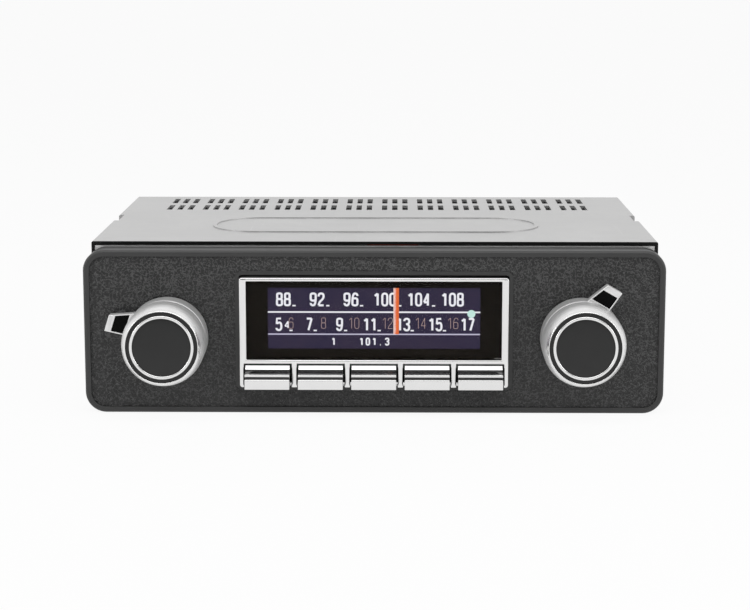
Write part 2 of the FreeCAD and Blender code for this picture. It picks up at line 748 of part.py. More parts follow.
def make_rear_panel():
    """Steel panel that closes the rear and carries the sockets."""
    inner = s.case_width / 2 - s.gauge - s.sheet_gap
    y = s.case_depth / 2 - s.gauge
    height = s.case_height - s.gauge - s.sheet_gap
    plate = box("rear_plate", (-inner, y, 0), (inner * 2, s.gauge, height))
    start = y - 1
    through = s.gauge + 2
    tools = [
        rod("rear_aerial_hole", (s.aerial_x, start, s.aerial_up), s.aerial_radius, through, "rearward"),
        rod("rear_stud_hole", (s.stud_x, start, s.stud_up), stud_neck_radius(), through, "rearward"),
        box(
            "rear_socket_hole",
            (s.socket_x - s.socket_wide / 2, start, s.socket_up - s.socket_tall / 2),
            (s.socket_wide, through, s.socket_tall),
        ),
        box(
            "rear_fuse_hole",
            (s.fuse_x - s.fuse_wide / 2, start, s.fuse_up - s.fuse_tall / 2),
            (s.fuse_wide, through, s.fuse_tall),
        ),
    ]
    for number, x in enumerate(jack_places()):
        spot = (x, start, s.jack_up)
        tools.append(rod(f"rear_jack_hole_{number}", spot, jack_neck_radius(), through, "rearward"))
    for number, (x, z) in enumerate(rear_screw_places()):
        hole = s.screw_radius + s.screw_play / 3
        tools.append(rod(f"rear_screw_hole_{number}", (x, start, z), hole, through, "rearward"))
    sub_part("rear_panel", cut("rear_panel", plate, *tools))


def jack_places():
    return [s.jack_x - s.jack_pitch / 2, s.jack_x + s.jack_pitch / 2]


def jack_neck_radius():
    return s.jack_radius - s.jack_neck


def stud_neck_radius():
    return s.stud_radius - s.stud_neck


def rear_screw_places():
    """X and Z of the screws that hold the heat sink to the rear panel."""
    reach = s.sink_wide / 2 - s.sink_screw_inset
    middle = s.sink_tall / 2 + heat_sink_low()
    return [(s.sink_x - reach, middle), (s.sink_x + reach, middle)]


def heat_sink_low():
    """Height of the heat sink's lower end above the underside."""
    return (s.case_height - s.sink_tall) / 2


def case_screws():
    """Pan-head screws: four through the case's sides, two through the heat sink."""
    screws = []
    for side, sign in SIDES:
        face = s.case_width / 2 * sign
        outward, inward = ("X", "-X") if sign > 0 else ("-X", "X")
        for number, y in enumerate(side_screw_places()):
            name = f"side_screw_{side}_{number}"
            head = rod(name + "_head", (face, y, screw_line()), s.screw_head, s.screw_head_tall, outward)
            shank = rod(name + "_shank", (face, y, screw_line()), s.screw_radius, s.screw_long, inward)
            screws.append(joined(name, head, shank))
    face = s.case_depth / 2 + s.sink_base
    for number, (x, z) in enumerate(rear_screw_places()):
        name = f"rear_screw_{number}"
        head = rod(name + "_head", (x, face, z), s.screw_head, s.screw_head_tall, "rearward")
        shank = rod(name + "_shank", (x, face, z), s.screw_radius, s.screw_long + s.sink_base, "forward")
        screws.append(joined(name, head, shank))
    return screws


# ---------------------------------------------------------------- the faceplate

def nose_hole(extra):
    """Low corner and size of the nose's outline grown by extra on each side."""
    return (
        -(s.nose_width / 2) - extra,
        s.nose_low - extra,
        s.nose_width + extra * 2,
        s.nose_height + extra * 2,
    )


def face_outline(inset):
    """Low corner, size and corner radius of the faceplate's outline moved inwards."""
    return (
        -(s.face_width / 2) + inset,
        s.face_low + inset,
        s.face_width - inset * 2,
        s.face_height - inset * 2,
    )


def make_faceplate():
    """Moulded black faceplate: smooth rim, sunken field, lip around the nose, hollow back."""
    body = new_body("faceplate")
    back = s.case_depth / 2 + s.face_forward
    front = back + s.face_thick
    field = front - s.face_recess
    blank = new_sketch(body, "XZ_Plane", back)
    draw_rounded(blank, *face_outline(Size(0)), s.face_corner)
    pad(body, blank, s.face_thick)
    rounded(body, s.face_round, lambda p: near(p.y, -front.value))
    sunken = new_sketch(body, "XZ_Plane", front)
    draw_rounded(sunken, *face_outline(s.face_rim), s.face_corner - s.face_rim)
    pocket(body, sunken, s.face_recess)
    lip = new_sketch(body, "XZ_Plane", field)
    draw_rounded(lip, *nose_hole(s.nose_gap + s.lip_wide), s.nose_corner + s.lip_wide)
    pad(body, lip, s.lip_rise)
    openings = new_sketch(body, "XZ_Plane", front + 1)
    draw_rounded(openings, *nose_hole(s.nose_gap), s.nose_corner)
    for _, sign in SIDES:
        x = s.shaft_spacing * sign / 2
        draw_circle(openings, x, s.shaft_up, s.bushing_radius + s.bushing_gap)
    pocket(body, openings, s.face_thick + 2)
    hollow = new_sketch(body, "XZ_Plane", back)
    draw_rounded(hollow, *face_outline(s.face_wall), s.face_corner - s.face_rim)
    draw_rounded(hollow, *nose_hole(s.nose_gap + s.collar_wide), s.nose_corner + s.lip_wide)
    for _, sign in SIDES:
        draw_circle(hollow, s.shaft_spacing * sign / 2, s.shaft_up, s.bushing_radius + s.boss_wall)
    pocket(body, hollow, s.face_hollow, reverse=True)
    sub_part("faceplate", body)


def make_face_gasket():
    """Foam ring between the faceplate and the front wall of the case."""
    body = new_body("face_gasket")
    drawing = new_sketch(body, "XZ_Plane", s.case_depth / 2 - s.wall_inset)
    inner = s.gasket_inset + s.gasket_wide
    draw_rounded(drawing, *face_outline(s.gasket_inset), s.face_corner - s.face_rim)
    draw_rounded(drawing, *face_outline(inner), s.face_corner - s.face_rim)
    pad(body, drawing, s.wall_inset + s.face_forward)
    sub_part("face_gasket", body)


# ---------------------------------------------------------------- the nose

def window_low():
    return s.nose_low + s.nose_height - s.top_bar - s.window_height


def key_places():
    """X of the middle of each key."""
    middle = (int(s.key_count.value) - 1) / 2
    return [s.key_pitch * (number - middle) for number in range(int(s.key_count.value))]


def make_nose_frame():
    """Chromed frame around the window, with posts between the keys."""
    body = new_body("nose_frame")
    back, front = s.case_depth / 2 + s.nose_back, s.case_depth / 2 + s.nose_front
    depth = s.nose_front - s.nose_back
    blank = new_sketch(body, "XZ_Plane", back)
    draw_rounded(blank, *nose_hole(Size(0)), s.nose_corner)
    pad(body, blank, depth)
    rounded(body, s.frame_round, lambda p: near(p.y, -front.value))
    window = new_sketch(body, "XZ_Plane", front + 1)
    width = s.nose_width - s.side_bar * 2
    draw_rectangle(window, -(width / 2), window_low(), width, s.window_height)
    pocket(body, window, depth + 2)
    rebate = new_sketch(body, "XZ_Plane", back)
    lap = s.lens_lap + s.lens_play
    draw_rectangle(
        rebate, -(width / 2) - lap, window_low() - lap, width + lap * 2, s.window_height + lap * 2
    )
    pocket(body, rebate, depth - s.ledge, reverse=True)
    room = s.key_width + s.key_gap * 2
    top = window_low() - s.mid_bar
    slots = new_sketch(body, "XZ_Plane", front + 1)
    sill = new_sketch(body, "XZ_Plane", front + 1)
    sill_top = s.nose_low + s.sill_height
    for place in key_places():
        edge = place - room / 2
        draw_rectangle(slots, edge, sill_top, room, top - sill_top)
        draw_rectangle(sill, edge, s.nose_low - 1, room, s.sill_height + 1.5)
    pocket(body, slots, depth + 2)
    pocket(body, sill, s.sill_back + 1)
    sub_part("nose_frame", body)


def make_lens():
    """Smoked window behind the frame's ledge."""
    width = s.nose_width - s.side_bar * 2 + s.lens_lap * 2
    height = s.window_height + s.lens_lap * 2
    low = (-(width / 2), forward(s.nose_front - s.ledge), window_low() - s.lens_lap)
    sub_part("dial_lens", box("dial_lens", low, (width, s.lens_thick, height)))


def make_display():
    """Display module, and the board that carries it and the key switches."""
    middle = window_low() + s.window_height / 2
    module = box(
        "display_module",
        (-(s.display_width / 2), forward(s.display_front), middle - s.display_height / 2),
        (s.display_width, s.display_deep, s.display_height),
    )
    sub_part("display_module", module)
    half, low, high = housing_inside()
    board = box(
        "display_board",
        (-half + s.sheet_gap, forward(s.board_front), low + s.sheet_gap),
        ((half - s.sheet_gap) * 2, s.board_thick, high - low - s.sheet_gap * 2),
    )
    sub_part("display_board", board)


def housing_inside():
    """Half width, low and high of the room inside the nose housing."""
    wall = s.housing_inset + s.housing_wall
    return (
        s.nose_width / 2 - wall,
        s.nose_low + wall,
        s.nose_low + s.nose_height - wall,
    )


def make_nose_housing():
    """Black moulding behind the frame, with a ledge for the board and a flange in the case."""
    inset = s.housing_inset
    low_x, low_z, width, height = nose_hole(-inset)
    deep = s.nose_back + s.housing_back
    shell = box("housing_shell", (low_x, forward(s.nose_back), low_z), (width, deep, height))
    flange_low_x, flange_low_z, flange_width, flange_height = nose_hole(s.housing_flange)
    wall_back = forward(-s.wall_inset - s.gauge)
    flange = box(
        "housing_flange",
        (flange_low_x, wall_back, flange_low_z),
        (flange_width, s.flange_thick, flange_height),
    )
    half, low, high = housing_inside()
    ledge_y = forward(s.board_front - s.board_thick)
    front_room = box(
        "housing_front_room",
        (-half, forward(s.nose_back + 1), low),
        (half * 2, s.nose_back + 1 - s.board_front + s.board_thick, high - low),
    )
    step = s.housing_step
    rear_room = box(
        "housing_rear_room",
        (-half + step, ledge_y - 1, low + step),
        ((half - step) * 2, deep + 2, high - low - step * 2),
    )
    solid = joined("housing_solid", shell, flange)
    sub_part("nose_housing", cut("nose_housing", solid, front_room, rear_room))


def make_keys():
    """Push keys, their switch plungers and the switches on the display board."""
    for number, x in enumerate(key_places(), start=1):
        make_key(number, x)
    bodies = []
    level = s.key_low + s.stem_up
    for number, x in enumerate(key_places(), start=1):
        block = box(
            f"switch_block_{number}",
            (x - s.switch_side / 2, forward(s.board_front + s.switch_tall), level - s.switch_side / 2),
            (s.switch_side, s.switch_tall, s.switch_side),
        )
        room = s.plunger_sunk + s.key_travel + s.plunger_play
        bore = rod(
            f"switch_bore_{number}",
            (x, forward(s.board_front + s.switch_tall - room), level),
            s.plunger_radius + s.plunger_play,
            room + 1,
            "forward",
        )
        bodies.append(cut(f"switch_{number}", block, bore))
        start = s.board_front + s.switch_tall - s.plunger_sunk
        plunger = rod(
            f"plunger_{number}",
            (x, forward(start), level),
            s.plunger_radius,
            s.stem_back - start,
            "forward",
        )
        sub_part(f"key_plunger_{number}", plunger)
    sub_part("key_switches", group("key_switches", bodies))


def make_key(number, x):
    """A chromed key: flat front, groove and bead above it, hollow top, stem behind."""
    body = new_body(f"key_{number}", x, forward(0), s.key_low)
    height = s.key_height
    face, groove, bead = s.key_face, s.key_groove, s.key_bead
    front, back = s.key_front, s.key_back
    profile = new_sketch(body, "YZ_Plane", -(s.key_width / 2))
    draw_outline(
        profile,
        [
            (-back, Size(0)),
            (-front, Size(0)),
            (-front, face),
            (-front + groove, face + groove / 3),
            (-front + groove, face + groove),
            (-front + groove / 2, face + groove + bead / 4),
            (-front + groove / 2, face + groove + bead),
            (-front + groove / 2, height),
            (-back, height),
        ],
    )
    pad(body, profile, s.key_width)
    scoop = new_sketch(body, "YZ_Plane", -(s.key_width / 2) - 1)
    draw_circle(scoop, s.scoop_back - front, s.scoop_up, s.scoop_radius)
    pocket(body, scoop, s.key_width + 2, reverse=True)
    rounded(
        body,
        s.key_round,
        lambda p: near(p.y, -front.value) and p.z < face.value + 1e-4,
    )
    stem = new_sketch(body, "XZ_Plane", back)
    draw_rectangle(
        stem, -(s.stem_wide / 2), s.stem_up - s.stem_tall / 2, s.stem_wide, s.stem_tall
    )
    pad(body, stem, back - s.stem_back, reverse=True)
    sub_part(f"key_{number}", body)


# ---------------------------------------------------------------- the two controls

def shaft_base(sign):
    """Body placement on a control's shaft, at the case front: local Y is minus forward."""
    return s.shaft_spacing * sign / 2, forward(0), s.shaft_up


def housing_front():
    """Front of a control's housing, behind the front wall (a forward distance)."""
    return -(s.wall_inset + s.gauge)


def make_encoder_housing(side, sign):
    """Control housing with its threaded bushing, open behind for the discs."""
    x, y, z = shaft_base(sign)
    half = s.encoder_side / 2
    front = housing_front()
    block = box(
        f"{side}_encoder_block",
        (x - half, forward(front), z - half),
        (s.encoder_side, s.encoder_deep, s.encoder_side),
    )
    bushing = rod(
        f"{side}_bushing", (x, forward(front), z), s.bushing_radius, s.bushing_front - front, "forward"
    )
    room = rod(
        f"{side}_encoder_room",
        (x, forward(front - s.encoder_deep - 1), z),
        s.encoder_bore,
        s.encoder_deep + 1 - s.encoder_front_wall,
        "forward",
    )
    bore = rod(
        f"{side}_bushing_bore",
        (x, forward(front - s.encoder_deep), z),
        s.sleeve_radius + s.running_gap,
        s.bushing_front - front + s.encoder_deep + 1,
        "forward",
    )
    solid = joined(f"{side}_encoder_solid", block, bushing)
    sub_part(f"{side}_control_housing", cut(f"{side}_control_housing", solid, room, bore))


def wiper_front():
    """Front of the outer shaft's disc, inside the housing (a forward distance)."""
    return housing_front() - s.encoder_front_wall - s.axial_play


def make_outer_shaft(side, sign):
    """Hollow shaft that the lever turns, with its contact disc."""
    x, y, z = shaft_base(sign)
    front = wiper_front()
    end = s.lever_front - s.lever_chamfer
    tube = rod(f"{side}_tube", (x, forward(front), z), s.sleeve_radius, end - front, "forward")
    disc = rod(f"{side}_disc", (x, forward(front), z), s.wiper_radius, s.wiper_thick, "rearward")
    bore = rod(
        f"{side}_tube_bore",
        (x, forward(front - s.wiper_thick - 1), z),
        s.inner_radius + s.running_gap,
        end - front + s.wiper_thick + 2,
        "forward",
    )
    solid = joined(f"{side}_tube_solid", tube, disc)
    sub_part(f"{side}_outer_shaft", cut(f"{side}_outer_shaft", solid, bore))


def rotor_front():
    return wiper_front() - s.wiper_thick - s.axial_play


def make_rotor(side, sign):
    """Contact disc that the inner shaft turns and slides through."""
    x, y, z = shaft_base(sign)
    front = rotor_front()
    disc = rod(f"{side}_rotor_disc", (x, forward(front), z), s.wiper_radius, s.rotor_thick, "rearward")
    play = s.running_gap
    hole = rod(
        f"{side}_rotor_hole",
        (x, forward(front + 1), z),
        s.inner_radius + play,
        s.rotor_thick + 2,
        "rearward",
    )
    flat = box(
        f"{side}_rotor_flat",
        (x - s.inner_radius * 2, forward(front + 2), z + s.inner_radius - s.flat_depth + play),
        (s.inner_radius * 4, s.rotor_thick + 4, s.inner_radius),
    )
    sub_part(f"{side}_rotor", cut(f"{side}_rotor", disc, cut(f"{side}_rotor_bore", hole, flat)))


def insert_back():
    """Back of the black insert, which is where the knob's floor begins (a forward distance)."""
    return s.knob_front - s.insert_sunk - s.insert_thick


def shaft_end():
    return insert_back() - s.knob_floor


def make_inner_shaft(side, sign):
    """Solid shaft from the push switch to the knob, with a flat along its length."""
    x, y, z = shaft_base(sign)
    start = -s.shaft_tail
    bar = rod(f"{side}_bar", (x, forward(start), z), s.inner_radius, shaft_end() - start, "forward")
    flat = box(
        f"{side}_bar_flat",
        (x - s.inner_radius * 2, forward(shaft_end() + 1), z + s.inner_radius - s.flat_depth),
        (s.inner_radius * 4, shaft_end() - start + 2, s.inner_radius),
    )
    sub_part(f"{side}_inner_shaft", cut(f"{side}_inner_shaft", bar, flat))


LEVER_ANGLE = {"left": 162.6, "right": 59.8}


def make_lever(side, sign):
    """Chromed ring with a finger tab, hollow behind to clear the nut."""
    x, y, z = shaft_base(sign)
    body = new_body(f"{side}_lever", x, y, z)
    body.Placement.Rotation = Rotation(Vector(0, -1, 0), LEVER_ANGLE[side])
    chamfer = s.lever_chamfer
    floor = s.lever_front - s.lever_web
    turned(
        body,
        [
            (s.sleeve_radius, -floor),
            (s.lever_hollow, -floor),
            (s.lever_hollow, -s.lever_back),
            (s.lever_radius, -s.lever_back),
            (s.lever_radius, -s.lever_front + chamfer),
            (s.lever_radius - chamfer, -s.lever_front),
            (s.sleeve_radius, -s.lever_front),
        ],
    )
    tab = new_sketch(body, "XZ_Plane", s.tab_back)
    draw_outline(tab, tab_corners(sign, tab_foot(), s.tab_reach, 0))
    pad(body, tab, s.tab_thick)
    tab_front = s.tab_back + s.tab_thick
    past_ring = s.lever_radius.value - s.tab_start.value
    rounded(
        body,
        s.tab_round,
        lambda p: near(p.y, -tab_front.value) and abs(p.x) > past_ring,
    )
    inlay = new_sketch(body, "XZ_Plane", tab_front)
    draw_outline(inlay, inlay_corners(sign))
    pocket(body, inlay, s.inlay_deep)
    sub_part(f"{side}_lever", body)


def tab_foot():
    """Where the tab starts, inside the ring's wall."""
    return s.lever_hollow + (s.lever_radius - s.lever_hollow) / 2


def tab_corners(sign, start, end, border):
    """The tab between two distances from the shaft; its upper side spreads towards the ring."""
    whole = s.tab_reach - tab_foot()
    high = (s.tab_high_root - s.tab_high_tip) / whole
    low = (s.tab_low_tip - s.tab_low_root) / whole
    corners = []
    for reach in (start, end):
        past_foot = reach - tab_foot()
        upper = s.tab_high_root - high * past_foot - border
        lower = border - s.tab_low_root - low * past_foot
        corners.append([(reach, lower * sign), (reach, upper * sign)])
    first, last = corners
    return [first[0], last[0], last[1], first[1]]


def inlay_corners(sign):
    """The black field on the tab, inside its borders."""
    start = s.lever_radius + s.tab_start
    return tab_corners(sign, start, s.tab_reach - s.tab_end_border, s.tab_border)


def make_lever_inlay(side, sign):
    x, y, z = shaft_base(sign)
    body = new_body(f"{side}_lever_inlay", x, y, z)
    body.Placement.Rotation = Rotation(Vector(0, -1, 0), LEVER_ANGLE[side])
    drawing = new_sketch(body, "XZ_Plane", s.tab_back + s.tab_thick - s.inlay_deep)
    draw_outline(drawing, inlay_corners(sign))
    pad(body, drawing, s.inlay_thick)
    sub_part(f"{side}_lever_inlay", body)


def make_knob_shell(side, sign):
    """Chromed knob: straight skirt, tapered front, hub on the inner shaft, seat for the insert."""
    body = new_body(f"{side}_knob_shell", *shaft_base(sign))
    front, waist, back = s.knob_front, s.knob_waist, s.knob_back
    seat = s.knob_mouth - s.rim_wide
    inside = s.knob_radius - s.knob_wall
    under = shaft_end()
    belly = (s.knob_radius - s.knob_mouth) * s.knob_belly
    middle = (front + waist) / 2
    turned(
        body,
        [
            (0, -insert_back()),
            (seat, -insert_back()),
            (seat, -front),
            (s.knob_mouth, -front),
            (s.knob_radius - belly, -middle),
            (s.knob_radius, -waist),
            (s.knob_radius, -back),
            (inside, -back),
            (inside, -under),
            (s.knob_hub, -under),
            (s.knob_hub, -back - s.hub_inset),
            (s.inner_radius, -back - s.hub_inset),
            (s.inner_radius, -under),
            (0, -under),
        ],
    )
    sub_part(f"{side}_knob_shell", body)


def make_knob_insert(side, sign):
    """Black disc in the front of the knob, with a groove for the bright ring."""
    body = new_body(f"{side}_knob_insert", *shaft_base(sign))
    seat = s.knob_mouth - s.rim_wide
    step = s.knob_front - s.insert_sunk
    groove = step - s.ring_sunk
    cap = s.knob_front + s.cap_rise
    turned(
        body,
        [
            (0, -insert_back()),
            (seat, -insert_back()),
            (seat, -step),
            (s.ring_outer, -step),
            (s.ring_outer, -groove),
            (s.ring_inner, -groove),
            (s.ring_inner, -(cap - s.cap_dome)),
            (s.crown_radius, -(cap - s.crown_drop)),
            (0, -cap),
        ],
    )
    sub_part(f"{side}_knob_insert", body)


def make_knob_ring(side, sign):
    """Bright ring pressed into the insert."""
    body = new_body(f"{side}_knob_ring", *shaft_base(sign))
    groove = s.knob_front - s.insert_sunk - s.ring_sunk
    top = s.knob_front + s.ring_rise
    edge = (s.ring_outer - s.ring_inner) / 4
    turned(
        body,
        [
            (s.ring_inner, -groove),
            (s.ring_outer, -groove),
            (s.ring_outer, -top + edge),
            (s.ring_outer - edge, -top),
            (s.ring_inner + edge, -top),
            (s.ring_inner, -top + edge),
        ],
    )
    sub_part(f"{side}_knob_ring", body)


def make_shaft_nuts():
    """Hex nuts and washers that clamp faceplate and case together on the bushings."""
    nuts, washers = [], []
    field, thick = s.field_front, s.washer_thick
    for side, sign in SIDES:
        x, y, z = shaft_base(sign)
        disc = rod(f"{side}_washer_disc", (x, forward(field), z), s.washer_radius, thick, "forward")
        inside = (x, forward(field - 1), z)
        hole = rod(f"{side}_washer_hole", inside, s.bushing_radius, thick + 2, "forward")
        washers.append(cut(f"{side}_washer", disc, hole))
        body = new_body(f"{side}_nut", x, y, z)
        drawing = new_sketch(body, "XZ_Plane", field + thick)
        half = s.hex_across / 2
        corner = s.hex_across / math.sqrt(3)
        draw_outline(
            drawing,
            [
                (corner, 0),
                (corner / 2, half),
                (-(corner / 2), half),
                (-corner, 0),
                (-(corner / 2), -half),
                (corner / 2, -half),
            ],
        )
        draw_circle(drawing, 0, 0, s.bushing_radius)
        pad(body, drawing, s.hex_thick)
        nuts.append(body)
    sub_part("shaft_nuts", group("shaft_nuts", nuts + washers))


def make_control_boards():
    """Small boards behind the controls, each with the switch that its shaft pushes."""
    boards, switches = [], []
    front = housing_front() - s.encoder_deep
    for side, sign in SIDES:
        x, y, z = shaft_base(sign)
        half = s.control_board / 2
        boards.append(
            box(
                f"{side}_board",
                (x - half, forward(front), z - half),
                (s.control_board, s.board_thick, s.control_board),
            )
        )
        gap = s.push_travel + s.push_gap
        tall = -(front + s.shaft_tail) - gap
        switches.append(
            box(
                f"{side}_push_switch",
                (x - s.push_side / 2, forward(front + tall), z - s.push_side / 2),
                (s.push_side, tall, s.push_side),
            )
        )
    sub_part("control_boards", group("control_boards", boards))
    sub_part("push_switches", group("push_switches", switches))


def make_controls():
    for side, sign in SIDES:
        make_encoder_housing(side, sign)
        make_outer_shaft(side, sign)
        make_rotor(side, sign)
        make_inner_shaft(side, sign)
        make_lever(side, sign)
        make_lever_inlay(side, sign)
        make_knob_shell(side, sign)
        make_knob_insert(side, sign)
        make_knob_ring(side, sign)
    make_shaft_nuts()
    make_control_boards()


# ---------------------------------------------------------------- inside the case

def main_board_back():
    return s.case_depth / 2 - s.gauge - s.main_back_gap


def board_level():
    """Underside of the main board."""
    return s.gauge + s.standoff_tall


def standoff_places():
    back = main_board_back() - s.standoff_inset
    front = main_board_back() - s.main_deep + s.standoff_inset
    reach = s.main_width / 2 - s.standoff_inset
    return [(x, y) for x in (-reach, reach) for y in (front, back)]


def make_main_board():
    """Main circuit board on four standoffs, with its screws."""
    low = (-(s.main_width / 2), main_board_back() - s.main_deep, board_level())
    plate = box("main_plate", low, (s.main_width, s.main_deep, s.board_thick))
    holes, standoffs, screws = [], [], []
    top = board_level() + s.board_thick
    for number, (x, y) in enumerate(standoff_places()):
        radius = s.screw_radius + s.screw_play
        holes.append(rod(f"main_hole_{number}", (x, y, board_level() - 1), radius, s.board_thick + 2))
        post = rod(f"post_{number}", (x, y, s.gauge), s.standoff_radius, s.standoff_tall)
        bore = rod(f"post_bore_{number}", (x, y, s.gauge - 1), s.screw_radius, s.standoff_tall + 2)
        standoffs.append(cut(f"standoff_{number}", post, bore))
        head = rod(f"board_head_{number}", (x, y, top), s.screw_head, s.screw_head_tall)
        shank = rod(f"board_shank_{number}", (x, y, top - s.screw_long), s.screw_radius, s.screw_long)
        screws.append(joined(f"board_screw_{number}", head, shank))
    sub_part("main_board", cut("main_board", plate, *holes))
    sub_part("board_standoffs", group("board_standoffs", standoffs))
    sub_part("small_screws", group("small_screws", case_screws() + screws))


# Each small chip: its middle across, its middle before the board's rear edge, width, depth.
SMALL_CHIPS = [(-14, 38, 16, 16), (14, 44, 10, 8), (40, 50, 14, 9), (12, 22, 8, 8)]


def make_board_pieces():
    """Tuner can, amplifier chip, capacitors and small chips on the main board."""
    top = board_level() + s.board_thick
    back = main_board_back()
    can = box(
        "tuner_can",
        (-(s.main_width / 2) + s.can_side, back - s.can_deep - s.can_back, top),
        (s.can_wide, s.can_deep, s.can_tall),
    )
    sub_part("tuner_can", can)
    chip_y = s.case_depth / 2 - s.gauge - s.chip_thick
    chip = box(
        "amplifier_chip",
        (s.sink_x - s.chip_wide / 2, chip_y, top),
        (s.chip_wide, s.chip_thick, s.chip_tall),
    )
    sub_part("amplifier_chip", chip)
    first_can = s.sink_x - s.cap_pitch * (s.cap_count - 1) / 2
    cans = [
        rod(
            f"capacitor_{number}",
            (first_can + s.cap_pitch * number, back - s.cap_back, top),
            s.cap_radius,
            s.cap_tall,
        )
        for number in range(int(s.cap_count.value))
    ]
    sub_part("capacitors", group("capacitors", cans))
    chips = []
    for number, (x, before, wide, deep) in enumerate(SMALL_CHIPS):
        low = (Size(x - wide / 2), back - (before + deep / 2), top)
        chips.append(box(f"chip_{number}", low, (wide, deep, s.small_chip_tall)))
    sub_part("small_chips", group("small_chips", chips))


def make_flat_cable(name, x, start_y, level):
    """A flat cable that comes back from a front board and bends down to the main board."""
    top = board_level() + s.board_thick
    outer = s.ribbon_bend + s.ribbon_thick
    end_y = main_board_back() - s.main_deep + s.ribbon_landing
    low_x = x - s.ribbon_wide / 2
    bend_y = end_y + s.ribbon_thick - outer
    level_run = box(
        name + "_run",
        (low_x, start_y, level),
        (s.ribbon_wide, bend_y - start_y, s.ribbon_thick),
    )
    middle_z = level + s.ribbon_thick - outer
    bend = rod(name + "_bend", (low_x, bend_y, middle_z), outer, s.ribbon_wide, "X")
    wide = s.ribbon_wide + 2
    core = rod(name + "_core", (low_x - 1, bend_y, middle_z), s.ribbon_bend, wide, "X")
    half = outer * 2
    corner = (low_x - 1, bend_y - half, middle_z - half)
    below = box(name + "_below", corner, (wide, half * 2, half))
    before = box(name + "_before", corner, (wide, half, half * 2))
    quarter = cut(name + "_quarter", bend, core, below, before)
    drop = box(
        name + "_drop",
        (low_x, end_y, top),
        (s.ribbon_wide, s.ribbon_thick, middle_z - top),
    )
    return joined(name, level_run, quarter, drop)


def make_cables():
    behind_display = forward(s.board_front - s.board_thick)
    sub_part("display_cable", make_flat_cable("display_cable", Size(0), behind_display, s.shaft_up))
    behind_control = forward(housing_front() - s.encoder_deep - s.board_thick)
    across = s.shaft_spacing / 2 - s.ribbon_shift
    cables = [
        make_flat_cable(f"{side}_cable", across * sign, behind_control, s.shaft_up)
        for side, sign in SIDES
    ]
    sub_part("control_cables", group("control_cables", cables))


# ---------------------------------------------------------------- the rear

def make_aerial_socket():
    """Turned socket for the aerial plug; gives back the contact in its closed end."""
    start = s.case_depth / 2 - s.gauge - s.aerial_in
    deep = s.aerial_in + s.gauge + s.aerial_out
    barrel = rod("aerial_barrel", (s.aerial_x, start, s.aerial_up), s.aerial_radius, deep, "rearward")
    bore = rod(
        "aerial_hole",
        (s.aerial_x, start + s.aerial_floor, s.aerial_up),
        s.aerial_bore,
        deep,
        "rearward",
    )
    tail = (s.aerial_x, start - s.contact_tail, s.aerial_up)
    long = s.aerial_floor + s.contact_tail
    contact_hole = rod("aerial_contact_hole", tail, s.contact_radius, long, "rearward")
    sub_part("aerial_socket", cut("aerial_socket", barrel, bore, contact_hole))
    return rod("aerial_contact", tail, s.contact_radius, long, "rearward")


def make_wiring_socket():
    """Black socket for the wiring plug; gives back its two rows of contact pins."""
    start = s.case_depth / 2 - s.gauge - s.socket_in
    deep = s.socket_in + s.gauge + s.socket_out
    wall = s.socket_wall
    low_x = s.socket_x - s.socket_wide / 2
    low_z = s.socket_up - s.socket_tall / 2
    block = box("socket_block", (low_x, start, low_z), (s.socket_wide, deep, s.socket_tall))
    room = box(
        "socket_room",
        (low_x + wall, start + s.socket_floor, low_z + wall),
        (s.socket_wide - wall * 2, deep, s.socket_tall - wall * 2),
    )
    sub_part("wiring_socket", cut("wiring_socket", block, room))
    pins = []
    middle = (s.pin_columns - 1) / 2
    for row in (-1, 1):
        for column in range(int(s.pin_columns.value)):
            x = s.socket_x + s.pin_pitch * (column - middle) - s.pin_side / 2
            z = s.socket_up + s.pin_pitch * row / 2 - s.pin_side / 2
            name = f"pin_{column}_{'upper' if row > 0 else 'lower'}"
            low = (x, start + s.socket_floor, z)
            pins.append(box(name, low, (s.pin_side, s.pin_long, s.pin_side)))
    return pins


def make_line_sockets():
    """Two round sockets for the amplifier leads: metal sleeves with plastic inserts.

    Each sleeve's shoulder stands on the rear panel, and its neck goes through it.
    """
    face = s.case_depth / 2
    start = face - s.gauge
    floor = start + s.jack_floor
    long = s.gauge + s.jack_out - s.jack_floor
    sleeves, inserts = [], []
    for number, x in enumerate(jack_places()):
        barrel = rod(f"jack_barrel_{number}", (x, face, s.jack_up), s.jack_radius, s.jack_out, "rearward")
        neck = rod(f"jack_neck_{number}", (x, start, s.jack_up), jack_neck_radius(), s.gauge, "rearward")
        solid = joined(f"jack_solid_{number}", barrel, neck)
        bore = rod(f"jack_bore_{number}", (x, floor, s.jack_up), s.jack_bore, long + 1, "rearward")
        sleeves.append(cut(f"jack_{number}", solid, bore))
        plug = rod(f"jack_plug_{number}", (x, floor, s.jack_up), s.jack_bore, long, "rearward")
        inner_end = (x, floor + s.jack_floor, s.jack_up)
        hole = rod(f"jack_pin_hole_{number}", inner_end, s.jack_pin, long, "rearward")
        inserts.append(cut(f"jack_insert_{number}", plug, hole))
    sub_part("line_sockets", group("line_sockets", sleeves))
    sub_part("line_socket_inserts", group("line_socket_inserts", inserts))


def make_fuse():
    """Blade fuse in the rear panel."""
    start = s.case_depth / 2 - s.gauge
    low = (s.fuse_x - s.fuse_wide / 2, start, s.fuse_up - s.fuse_tall / 2)
    sub_part("blade_fuse", box("blade_fuse", low, (s.fuse_wide, s.gauge + s.fuse_out, s.fuse_tall)))


